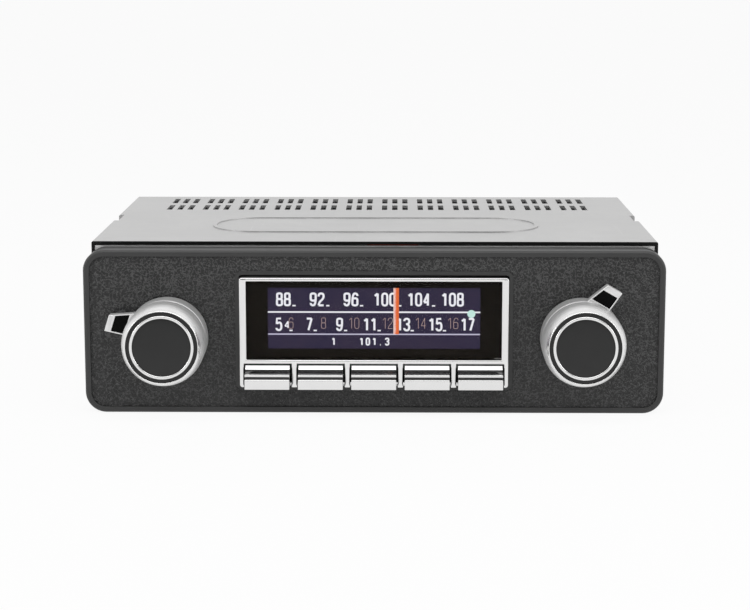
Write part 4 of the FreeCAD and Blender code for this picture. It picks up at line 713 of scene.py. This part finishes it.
def display_ground():
    """The panel's dark ground, with its columns of dots and a faint drift of colour."""
    ground = Finish("display_ground", Roughness=0.5, Specular_IOR_Level=0.05)
    ground.set(Emission_Strength=1.0)
    drift = ground.noise(9 * mm, 3)
    split = ground.node("SeparateXYZ", None, {0: ground.place})
    dots = (split * (2 * math.pi / (0.25 * mm))).maths("SINE") * 0.5 + 0.5
    warm = ground.blend(drift, (0.024, 0.022, 0.056, 1), (0.046, 0.033, 0.058, 1))
    ground.set(Base_Color=(0.004, 0.004, 0.006, 1))
    ground.set(Emission_Color=ground.blend(dots * 0.12, warm, (0.01, 0.01, 0.03, 1)))
    return ground


white_light = lit("white_figures", (0.92, 0.93, 1.0, 1), 1.05)
faint_light = lit("faint_figures", (0.50, 0.36, 0.34, 1), 1.0)

# Strokes on a field 4 wide and 8 high: a line, a bow with free ends or a closed loop.
FIGURES = {
    "0": [("loop", (0, 4), (0, 8), (4, 8), (4, 4), (4, 0), (0, 0))],
    "1": [("line", (0.4, 6.4), (2.6, 8)), ("line", (2.6, 8), (2.6, 0))],
    "2": [("bow", (0, 6), (0, 8), (4, 8), (4, 4.6), (0.4, 2.2), (0, 0)), ("line", (0, 0), (4, 0))],
    "3": [
        ("bow", (0, 6.4), (0, 8), (4, 8), (4, 4.3), (1.4, 4.3)),
        ("bow", (1.4, 4.3), (4, 4.3), (4, 0), (0, 0), (0, 1.6)),
    ],
    "4": [("line", (3.1, 0), (3.1, 8)), ("line", (3.1, 8), (0, 2.2)), ("line", (0, 2.2), (4, 2.2))],
    "5": [
        ("line", (3.7, 8), (0.4, 8), (0.2, 4.3)),
        ("bow", (0.2, 4.3), (1, 5.2), (4, 5.2), (4, 0), (0, 0), (0, 1.5)),
    ],
    "6": [
        ("loop", (0, 2.3), (0, 4.8), (4, 4.8), (4, 2.3), (4, 0), (0, 0)),
        ("bow", (0, 2.3), (0, 8), (4, 8), (4, 6.4)),
    ],
    "7": [("line", (0, 8), (4, 8)), ("line", (4, 8), (1.3, 0))],
    "8": [
        ("loop", (0.2, 6.2), (0.2, 8), (3.8, 8), (3.8, 6.2), (3.8, 4.2), (0.2, 4.2)),
        ("loop", (0, 2.1), (0, 4.2), (4, 4.2), (4, 2.1), (4, 0), (0, 0)),
    ],
    "9": [
        ("loop", (4, 5.7), (4, 3.2), (0, 3.2), (0, 5.7), (0, 8), (4, 8)),
        ("bow", (4, 5.7), (4, 0), (0, 0), (0, 1.6)),
    ],
    "-": [("line", (0, 0), (4, 0))],
    ".": [("line", (1.2, 0), (2.0, 0))],
}


def frozen(source):
    """The mesh that an object shows once its curve or modifiers are worked out."""
    shown = source.evaluated_get(bpy.context.evaluated_depsgraph_get())
    return bpy.data.meshes.new_from_object(shown)


def figures(name, words, height, width, pitch, stroke, finish):
    """Rows of figures drawn with round strokes; words are (text, middle x, foot z)."""
    drawing = bpy.data.curves.new(name, "CURVE")
    drawing.dimensions = "3D"
    drawing.bevel_depth = stroke / 2
    drawing.bevel_resolution = 2
    drawing.use_fill_caps = True
    drawing.resolution_u = 8
    across, up = (width - stroke) / 4, (height - stroke) / 8
    for text, middle, foot in words:
        start = middle - pitch * (len(text) - 1) / 2 - (width - stroke) / 2
        for place, sign in enumerate(text):
            for kind, *points in FIGURES.get(sign, []):
                spline = drawing.splines.new("POLY" if kind == "line" else "NURBS")
                spline.points.add(len(points) - 1)
                for point, (x, z) in zip(spline.points, points):
                    spot_x = start + place * pitch + x * across
                    point.co = (spot_x, 0, foot + stroke / 2 + z * up, 1)
                if kind != "line":
                    spline.order_u = 3
                spline.use_cyclic_u = kind == "loop"
                spline.use_endpoint_u = kind == "bow"
    source = bpy.data.objects.new(name + "_drawing", drawing)
    bpy.context.scene.collection.objects.link(source)
    mesh = frozen(source)
    bpy.data.objects.remove(source)
    bm = bmesh.new()
    bm.from_mesh(mesh)
    bmesh.ops.scale(bm, vec=(1, 0.06 * mm / stroke, 1), verts=bm.verts)
    bmesh.ops.translate(bm, vec=(0, ink_y - 0.03 * mm, 0), verts=bm.verts)
    fit(shape(name, bm), "case", "display", finish)


def display():
    """Replaces the display's block: a black frame with the lit ground set in its front."""
    bm = bmesh.new()
    bounds = (display_low.x, display_high.x, display_low.z, display_high.z)
    upright_plate(bm, *bounds, display_low.y, display_high.y)
    round_edges(bm, bm.edges[:], 0.3 * mm, 2, clamp=False)
    fit(shape("display_frame", bm), "case", "display", print_black, "display_module")
    bm = bmesh.new()
    spare = 0.4 * mm
    half = PICTURE_WIDTH / 2 + spare
    bounds = (picture_x - half, picture_x + half, PICTURE_LOW - spare, PICTURE_TOP + spare)
    upright_plate(bm, *bounds, ground_y, display_low.y + 0.05 * mm)
    fit(shape("display_glass", bm), "case", "display", display_ground())


UPPER_FOOT = 34.25 * mm
LOWER_FOOT = 26.4 * mm
UPPER_LINE = 32.45 * mm
LOWER_LINE = 25.45 * mm
READING_FOOT = 21.85 * mm
UPPER_START, UPPER_STEP = -28.15 * mm, 10.5 * mm
LEFT_START, LEFT_STEP = -29.6 * mm, 9.45 * mm
RIGHT_START, RIGHT_STEP = -31.08 * mm, 10.03 * mm

display()
upper, lower, faint, dashes = [], [], [], []
for step in range(6):
    middle = UPPER_START + UPPER_STEP * step
    text = str(88 + 4 * step)
    upper.append((text, middle, UPPER_FOOT))
    if step < 5:
        dashes.append(("-", middle + (1.35 * len(text) + 0.6) * mm, UPPER_FOOT))
for step in range(7):
    text = str(5 + 2 * step)
    start, pace = (LEFT_START, LEFT_STEP) if step < 4 else (RIGHT_START, RIGHT_STEP)
    middle = start + pace * step
    lower.append((text, middle, LOWER_FOOT))
    if step < 6:
        aside = 1.0 * mm * len(text) + 0.85 * mm
        dashes.append(("-", middle + aside + (1.9 * mm if step == 0 else 0), LOWER_FOOT))
        beside = (2.6 if step > 0 else 1.9) * mm
        faint.append((str(6 + 2 * step), middle + aside + beside, LOWER_FOOT + 0.8 * mm))
figures("upper_figures", upper, 4.4 * mm, 2.2 * mm, 2.45 * mm, 0.66 * mm, white_light)
figures("lower_figures", lower, 4.3 * mm, 2.15 * mm, 2.3 * mm, 0.64 * mm, white_light)
figures("scale_dashes", dashes, 0.5 * mm, 1.45 * mm, 2.3 * mm, 0.46 * mm, white_light)
figures("faint_figures", faint, 3.5 * mm, 1.5 * mm, 1.8 * mm, 0.15 * mm, faint_light)
small = [("4", -27.1 * mm, 27.2 * mm)]
figures("small_figures", small, 2.5 * mm, 1.6 * mm, 0, 0.4 * mm, white_light)
reading = [("1", -12.6 * mm, READING_FOOT), ("101.3", 0.1 * mm, READING_FOOT)]
figures("reading", reading, 2.55 * mm, 1.4 * mm, 2.0 * mm, 0.48 * mm, white_light)


def lit_strip(name, low_x, high_x, low_z, high_z, finish, lift=0.0):
    bm = bmesh.new()
    upright_plate(bm, low_x, high_x, low_z, high_z, ink_y - lift - 0.03 * mm, ink_y - lift)
    fit(shape(name, bm), "case", "display", finish)


soft_light = lit("soft_line", (0.62, 0.60, 0.78, 1), 1.0)
for name, level, thick, light in (
    ("upper_scale_line", UPPER_LINE, 0.48 * mm, white_light),
    ("lower_scale_line", LOWER_LINE, 0.4 * mm, soft_light),
):
    half = PICTURE_WIDTH / 2
    lit_strip(name, -half, half, level - thick / 2, level + thick / 2, light)
pink = lit("pointer_pale", (0.95, 0.72, 0.68, 1), 1.0)
orange = lit("pointer_orange", (0.88, 0.17, 0.045, 1), 1.0)
lit_strip("pointer_pale_half", 6.05 * mm, 6.85 * mm, LOWER_LINE, PICTURE_TOP, pink, 0.04 * mm)
lit_strip("pointer_orange_half", 6.4 * mm, 7.75 * mm, LOWER_LINE, PICTURE_TOP, orange, 0.04 * mm)


def lit_dot():
    bm = bmesh.new()
    bmesh.ops.create_circle(bm, cap_ends=True, segments=40, radius=1.25 * mm)
    pull(bm, bm.faces[:], (0, 0, 0.03 * mm))
    bmesh.ops.recalc_face_normals(bm, faces=bm.faces)
    upright = Matrix.Rotation(math.radians(90), 4, "X")
    bmesh.ops.transform(bm, matrix=upright, verts=bm.verts)
    place = (30.25 * mm, ink_y - 0.05 * mm, UPPER_LINE - 0.5 * mm)
    bmesh.ops.translate(bm, vec=place, verts=bm.verts)
    pale_green = lit("dot_light", (0.62, 0.90, 0.84, 1), 1.0)
    fit(shape("station_dot", bm), "case", "display", pale_green)


lit_dot()


# ------------------------------------------------------------------ the two controls
# Each control is a chromed lever ring on the hollow outer shaft and a chromed knob on
# the solid inner one. The knob's front holds a black insert with a bright ring in it.

TURN_STEPS = 128


def lathe(name, corners, centre, front):
    """Turns an outline about a shaft; a corner is (radius, depth behind front, rounding)."""
    bm = bmesh.new()
    verts = [bm.verts.new((radius, depth, 0)) for radius, depth, _ in corners]
    closed = corners[0][0] > 0
    pairs = list(zip(verts, verts[1:])) + ([(verts[-1], verts[0])] if closed else [])
    for first, second in pairs:
        bm.edges.new((first, second))
    for vert, (_, _, rounding) in zip(verts, corners):
        if rounding:
            bmesh.ops.bevel(
                bm,
                geom=[vert],
                offset=rounding,
                segments=5,
                profile=0.5,
                affect="VERTICES",
                material=-1,
            )
    outline = bm.verts[:] + bm.edges[:]
    bmesh.ops.spin(
        bm,
        geom=outline,
        cent=(0, 0, 0),
        axis=(0, 1, 0),
        angle=2 * math.pi,
        steps=TURN_STEPS,
        use_merge=True,
    )
    bmesh.ops.remove_doubles(bm, verts=bm.verts, dist=1e-7)
    bmesh.ops.recalc_face_normals(bm, faces=bm.faces)
    bmesh.ops.translate(bm, vec=(centre[0], front, centre[1]), verts=bm.verts)
    return shape(name, bm, 30)


def satin_black():
    """The knob insert's black plastic, turned with very fine rings."""
    plastic = Finish("satin_black", Specular_IOR_Level=0.4)
    fine = plastic.noise(0.1 * mm, 2)
    cloud = plastic.noise(6 * mm, 2)
    plastic.set(Base_Color=plastic.blend(cloud, grey(0.012), grey(0.017)))
    plastic.set(Roughness=0.34 + 0.08 * fine + 0.05 * cloud)
    plastic.relief(fine, 0.003 * mm)
    return plastic


def black_lacquer():
    """Gloss paint let into the lever's tab."""
    lacquer_and_painted_reflection = Finish("black_lacquer", Specular_IOR_Level=0.05)
    orange_peel = lacquer_and_painted_reflection.noise(0.9 * mm, 2)
    lacquer_and_painted_reflection.set(Base_Color=lacquer_and_painted_reflection.blend(orange_peel, grey(0.0015), grey(0.003)))
    lacquer_and_painted_reflection.set(Roughness=0.22 + 0.1 * orange_peel)
    lacquer_and_painted_reflection.relief(orange_peel, 0.004 * mm)
    return lacquer_and_painted_reflection


def turned_chrome(side, centre):
    """Satin plating with fine rings from the lathe, and a painted shadow line on the lever ring's
    face.
    """
    chrome = Finish(side + "_turned_chrome")
    spot = chrome.node("SeparateXYZ", None, {0: chrome.place}, "X") - centre[0]
    depth = chrome.node("SeparateXYZ", None, {0: chrome.place}, "Y")
    height = chrome.node("SeparateXYZ", None, {0: chrome.place}, "Z") - centre[1]
    radius = (spot * spot + height * height) ** 0.5
    across = chrome.node("CombineXYZ", None, {"X": radius, "Y": depth})
    rings = chrome.noise(0.16 * mm, 3, across, 0.7)
    broad = chrome.noise(1.1 * mm, 2, across)
    cloud = chrome.noise(7 * mm, 2)
    satin = radius.between(11.35 * mm, 12.0 * mm)
    shade = (rings * 0.6 + broad * 0.25 + cloud * 0.15).between(0.3, 0.7)
    bright = chrome.blend(shade, grey(0.62), grey(0.96, 0.004))
    lever_low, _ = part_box(side + "_lever")
    # Painted shadow: a near-black ring on the lever ring's front face, behind the knob, standing in
    # for the shade of the gap between them.
    face = depth.between(lever_low.y - 0.5 * mm, lever_low.y - 0.3 * mm)
    face = face - depth.between(lever_low.y + 0.1 * mm, lever_low.y + 0.14 * mm)
    line = face * (radius.between(11.0 * mm, 11.1 * mm) - radius.between(12.0 * mm, 12.1 * mm))
    chrome.set(Base_Color=chrome.blend(line, bright, grey(0.01)))
    chrome.set(Metallic=1 - 0.35 * satin, Roughness=0.10 + satin * (0.2 + 0.22 * rings))
    chrome.relief(rings * satin, 0.02 * mm)
    return chrome


insert_black = satin_black()
tab_black = black_lacquer()
LEVER_TURN = {"left": 162.6, "right": 59.8}
TAB_FOOT, TAB_REACH = 11.18 * mm, 18.95 * mm
TAB_HIGH_FOOT, TAB_HIGH_TIP = 5.3 * mm, 2.3 * mm
TAB_LOW_FOOT, TAB_LOW_TIP = 2.2 * mm, 2.85 * mm
TAB_FRONT, TAB_THICK = 0.7 * mm, 3.2 * mm
TAB_BORDER, TAB_END, INLAY_DEPTH = 0.4 * mm, 2.0 * mm, 0.5 * mm
TAB_BREAK = 0.18 * mm


def lever_tab(side, centre, front, radius):
    """The finger tab: it spreads towards the ring, and a black field lies sunk in it."""
    bm = bmesh.new()
    upward = -1 if side == "left" else 1
    steep = (TAB_HIGH_FOOT - TAB_HIGH_TIP) / (TAB_REACH - TAB_FOOT)
    gentle = (TAB_LOW_TIP - TAB_LOW_FOOT) / (TAB_REACH - TAB_FOOT)

    def sides(reach, border):
        past_foot = reach - TAB_FOOT
        upper = TAB_HIGH_FOOT - steep * past_foot - border
        return upper, border - TAB_LOW_FOOT - gentle * past_foot

    (foot_upper, foot_lower), (tip_upper, tip_lower) = sides(TAB_FOOT, 0), sides(TAB_REACH, 0)
    outline = [(TAB_FOOT, foot_lower), (TAB_REACH, tip_lower)]
    outline += [(TAB_REACH, tip_upper), (TAB_FOOT, foot_upper)]
    bottom = bm.faces.new([bm.verts.new((x, 0, z * upward)) for x, z in outline])
    pull(bm, [bottom], (0, -TAB_THICK, 0))
    bmesh.ops.recalc_face_normals(bm, faces=bm.faces)
    top = next(face for face in bm.faces if face.normal.y < -0.9)
    bmesh.ops.inset_individual(bm, faces=[top], thickness=TAB_BORDER)
    for vert in top.verts:
        vert.co.x = TAB_REACH - TAB_END if vert.co.x > radius + 2 * mm else radius + 0.2 * mm
        upper, lower = sides(vert.co.x, TAB_BORDER)
        vert.co.z = upward * (upper if vert.co.z * upward > 0 else lower)
    made = bmesh.ops.extrude_discrete_faces(bm, faces=[top])
    bmesh.ops.translate(bm, vec=(0, INLAY_DEPTH, 0), verts=made["faces"][0].verts)
    edges = [
        edge
        for edge in bm.edges
        if edge.is_manifold and edge.is_convex and edge.calc_face_angle(0) > 0.5
        and max(vert.co.x for vert in edge.verts) > radius
    ]
    round_edges(bm, edges, TAB_BREAK)
    turn = Matrix.Rotation(math.radians(LEVER_TURN[side]), 4, (0, -1, 0))
    bmesh.ops.transform(bm, matrix=turn, verts=bm.verts)
    place = (centre[0], front + TAB_FRONT + TAB_THICK, centre[1])
    bmesh.ops.translate(bm, vec=place, verts=bm.verts)
    return shape(side + "_tab_tool", bm)


def united(piece, tool):
    """Welds a second closed shape onto a piece and removes the tool."""
    weld = piece.modifiers.new("weld", "BOOLEAN")
    weld.operation = "UNION"
    weld.solver = "EXACT"
    weld.object = tool
    mesh = frozen(piece)
    piece.modifiers.clear()
    piece.data = mesh
    bpy.data.objects.remove(tool)
    mesh.shade_smooth()
    mesh.set_sharp_from_angle(angle=math.radians(30))
    return piece


def control(side):
    shaft_low, shaft_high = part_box(side + "_outer_shaft")
    centre = ((shaft_low.x + shaft_high.x) / 2, (shaft_low.z + shaft_high.z) / 2)
    low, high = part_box(side + "_lever")
    front, deep = low.y, high.y - low.y
    radius = min(centre[0] - low.x, high.x - centre[0])
    bore, hollow, web = 4.0 * mm, 9.7 * mm, 2.8 * mm
    ring = lathe(
        side + "_lever_ring",
        [
            (bore, 0, 0.1 * mm),
            (radius, 0, 0.55 * mm),
            (radius, deep, 0.35 * mm),
            (hollow, deep, 0.2 * mm),
            (hollow, web, 0),
            (bore, web, 0),
        ],
        centre,
        front,
    )
    ring = united(ring, lever_tab(side, centre, front, radius))
    turned = turned_chrome(side, centre)
    fit(ring, side + "_lever_ring", "chrome", turned, side + "_lever")
    paint(tab_black, side + "_lever_inlay")

    low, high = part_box(side + "_knob_shell")
    front, deep = low.y, high.y - low.y
    radius = (high.x - low.x) / 2
    mouth, seat, wall = 11.2 * mm, 11.0 * mm, 1.3 * mm
    floor, under = 2.2 * mm, 3.8 * mm
    boss, socket, boss_end = 5.2 * mm, 3.0 * mm, deep - 0.4 * mm
    shell = lathe(
        side + "_knob_chrome",
        [
            (0, floor, 0),
            (seat, floor, 0),
            (seat, 0, 0.1 * mm),
            (mouth, 0, 0.14 * mm),
            (radius - 0.45 * mm, 1.7 * mm, 1.2 * mm),
            (radius, 3.9 * mm, 0.5 * mm),
            (radius, deep, 0.35 * mm),
            (radius - wall, deep, 0.3 * mm),
            (radius - wall, under, 0),
            (boss, under, 0),
            (boss, boss_end, 0),
            (socket, boss_end, 0),
            (socket, under, 0),
            (0, under, 0),
        ],
        centre,
        front,
    )
    fit(shell, side + "_knob", "chrome", turned, side + "_knob_shell")

    ring_outer, ring_inner = 9.85 * mm, 8.9 * mm
    shelf, trench, proud = 0.5 * mm, 1.0 * mm, 0.25 * mm
    insert = lathe(
        side + "_knob_face",
        [
            (0, floor, 0),
            (seat, floor, 0),
            (seat, shelf, 0.05 * mm),
            (ring_outer, shelf, 0),
            (ring_outer, trench, 0),
            (ring_inner, trench, 0),
            (ring_inner, 0.2 * mm, 0.12 * mm),
            (ring_inner * 0.6, 0, 2.0 * mm),
            (0, -0.1 * mm, 0),
        ],
        centre,
        front,
    )
    fit(insert, side + "_knob", "gloss_black", insert_black, side + "_knob_insert")
    trim = lathe(
        side + "_knob_trim",
        [
            (ring_inner, trench, 0),
            (ring_outer, trench, 0),
            (ring_outer, -proud, 0.3 * mm),
            (ring_inner, -proud, 0.3 * mm),
        ],
        centre,
        front,
    )
    fit(trim, side + "_knob", "chrome", chrome, side + "_knob_ring")


for side in ("left", "right"):
    control(side)


# ------------------------------------------------------------------ circuit boards
# Glass-fibre boards with a green solder mask over faint copper tracks, and the parts
# soldered to them.


def board_green():
    board = Finish("board_green", Specular_IOR_Level=0.5)
    tracks = board.cells(3.2 * mm, "DISTANCE_TO_EDGE").below(0.12)
    weave = board.noise(0.5 * mm, 2)
    mask = board.blend(tracks, (0.008, 0.085, 0.03, 1), (0.02, 0.17, 0.06, 1))
    board.set(Base_Color=board.blend(weave * 0.3, mask, (0.01, 0.06, 0.03, 1)))
    board.set(Roughness=0.3 + 0.15 * weave)
    board.relief(tracks, 0.03 * mm)
    return board


def tinned_can():
    tin = Finish("tinned_can", Metallic=1.0)
    cloud = tin.noise(5 * mm, 4)
    tin.set(Base_Color=tin.blend(cloud, grey(0.55), grey(0.74, 0.01)))
    tin.set(Roughness=0.24 + 0.25 * cloud)
    tin.relief(cloud, 0.03 * mm)
    return tin


def capacitor_sleeve():
    """Dark blue shrink sleeve, and the bare can end on top."""
    sleeve = Finish("capacitor_sleeve")
    low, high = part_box("capacitors")
    split = sleeve.node("SeparateXYZ", None, {0: sleeve.place}, "Z")
    top = split.between(high.z - 0.5 * mm, high.z - 0.3 * mm)
    fine = sleeve.noise(0.4 * mm, 2)
    sleeve.set(Base_Color=sleeve.blend(top, (0.012, 0.02, 0.07, 1), grey(0.6)))
    sleeve.set(Metallic=top, Roughness=0.3 + 0.12 * fine)
    sleeve.relief(fine, 0.01 * mm)
    return sleeve


def flat_cable():
    cable = Finish("flat_cable", Specular_IOR_Level=0.4)
    split = cable.node("SeparateXYZ", None, {0: cable.place}, "X")
    wires = (split * (2 * math.pi / (1.0 * mm))).maths("SINE") * 0.5 + 0.5
    cable.set(Base_Color=cable.blend(wires, grey(0.50, 0.02), grey(0.74, 0.01)))
    cable.set(Roughness=0.4 + 0.1 * wires)
    cable.relief(wires, 0.12 * mm)
    return cable


def gold_flash():
    gold = Finish("gold_flash", Metallic=1.0)
    cloud = gold.noise(1.5 * mm, 3)
    gold.set(Base_Color=gold.blend(cloud, (0.58, 0.40, 0.16, 1), (0.80, 0.60, 0.28, 1)))
    gold.set(Roughness=0.2 + 0.15 * cloud)
    return gold


paint(board_green(), "main_board", "display_board", "control_boards")
paint(tinned_can(), "tuner_can")
paint(capacitor_sleeve(), "capacitors")
paint(flat_cable(), "display_cable", "control_cables")
paint(gold_flash(), "socket_contacts", "board_standoffs")


# ------------------------------------------------------------------ rear fittings
# The heat sink is an aluminium extrusion with sawn ends. The line sockets have coloured
# inserts, and the blade fuse is clear tinted plastic.


def extruded_aluminium():
    metal = Finish("extruded_aluminium", Metallic=1.0)
    drawn = metal.noise(0.25 * mm, 3, metal.stretched(1, 1, 0.02))
    cloud = metal.noise(12 * mm, 3)
    metal.set(Base_Color=metal.blend(drawn * 0.6 + cloud * 0.4, grey(0.52), grey(0.72, 0.004)))
    metal.set(Roughness=0.3 + 0.16 * drawn)
    metal.relief(drawn, 0.015 * mm)
    return metal


def socket_plastic():
    """Red insert for one channel and white for the other."""
    plastic = Finish("socket_plastic", Specular_IOR_Level=0.5)
    low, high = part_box("line_socket_inserts")
    split = plastic.node("SeparateXYZ", None, {0: plastic.place}, "X")
    outer = split.below((low.x + high.x) / 2)
    fine = plastic.noise(0.3 * mm, 2)
    plastic.set(Base_Color=plastic.blend(outer, (0.62, 0.61, 0.58, 1), (0.50, 0.02, 0.02, 1)))
    plastic.set(Roughness=0.28 + 0.12 * fine)
    return plastic


def fuse_plastic():
    plastic = Finish("fuse_plastic", Transmission_Weight=0.35, IOR=1.49)
    cloud = plastic.noise(2 * mm, 2)
    plastic.set(Base_Color=plastic.blend(cloud, (0.42, 0.03, 0.02, 1), (0.60, 0.07, 0.04, 1)))
    plastic.set(Roughness=0.15 + 0.12 * cloud)
    return plastic


paint(extruded_aluminium(), "heat_sink")
paint(socket_plastic(), "line_socket_inserts")
paint(fuse_plastic(), "blade_fuse")


# ------------------------------------------------------------------ studio
# A pale floor in an even white surround, with a large soft lamp over the front and one
# on each side. A dark card, which only metal and gloss can see, shapes the chrome.

SHOWN_WHITE = 0.92

floor_bm = bmesh.new()
bmesh.ops.create_grid(floor_bm, x_segments=1, y_segments=1, size=40)
floor = shape("floor", floor_bm)
floor_paint = Finish("floor_white", Roughness=0.9, Specular_IOR_Level=0.1)
mottle = floor_paint.noise(300 * mm, 2)
floor_paint.set(Base_Color=floor_paint.blend(mottle, grey(0.86), grey(0.88)))
plain = Field(floor_paint, floor_paint.shader.outputs[0])
white = floor_paint.node("Emission", None, {"Color": (1, 1, 1, 1), "Strength": 1.0})
shown = floor_paint.white_to_eye() * SHOWN_WHITE
mixed = floor_paint.node("MixShader", None, {0: shown, 1: plain, 2: white})
floor_paint.feed(floor_paint.tree.nodes["Material Output"], {"Surface": mixed})
floor.data.materials.append(floor_paint.material)

world = bpy.data.worlds.new("surround")
bpy.context.scene.world = world
surround = Nodes(world)
strength = 0.5 + 0.5 * surround.white_to_eye()
surround.feed(surround.tree.nodes["Background"], {"Color": (1, 1, 1, 1), "Strength": strength})

card_black = Finish("card_black", Roughness=1.0, Specular_IOR_Level=0.0)
card_black.set(Base_Color=card_black.blend(card_black.noise(50 * mm), grey(0.01), grey(0.02)))


def dark_card(name, place, aim, width, height):
    bm = bmesh.new()
    bmesh.ops.create_grid(bm, x_segments=1, y_segments=1, size=0.5)
    bmesh.ops.scale(bm, vec=(width, height, 1), verts=bm.verts)
    turn = (Vector(aim) - Vector(place)).to_track_quat("Z", "Y").to_matrix()
    bmesh.ops.rotate(bm, cent=(0, 0, 0), matrix=turn, verts=bm.verts)
    bmesh.ops.translate(bm, vec=place, verts=bm.verts)
    card = shape(name, bm)
    card.data.materials.append(card_black.material)
    card.visible_camera = False
    card.visible_diffuse = False
    card.visible_shadow = False


dark_card("card_front", (0, -1.6, 0.42), (0, -0.1, 0.03), 2.4, 0.7)


def soft_lamp(name, place, aim, width, height, power):
    lamp = bpy.data.lights.new(name, "AREA")
    lamp.shape = "RECTANGLE"
    lamp.size = width
    lamp.size_y = height
    lamp.energy = power
    stand = bpy.data.objects.new(name, lamp)
    stand.location = place
    stand.rotation_euler = (Vector(aim) - Vector(place)).to_track_quat("-Z", "Y").to_euler()
    bpy.context.scene.collection.objects.link(stand)


soft_lamp("lamp_top", (0, -0.5, 0.8), (0, -0.05, 0.03), 1.1, 0.6, 3.6)
soft_lamp("lamp_left", (-0.9, -0.5, 0.4), (0, -0.05, 0.02), 0.4, 0.4, 1.6)
soft_lamp("lamp_right", (0.9, -0.5, 0.4), (0, -0.05, 0.02), 0.4, 0.4, 1.6)

bpy.context.scene.view_settings.view_transform = "Standard"
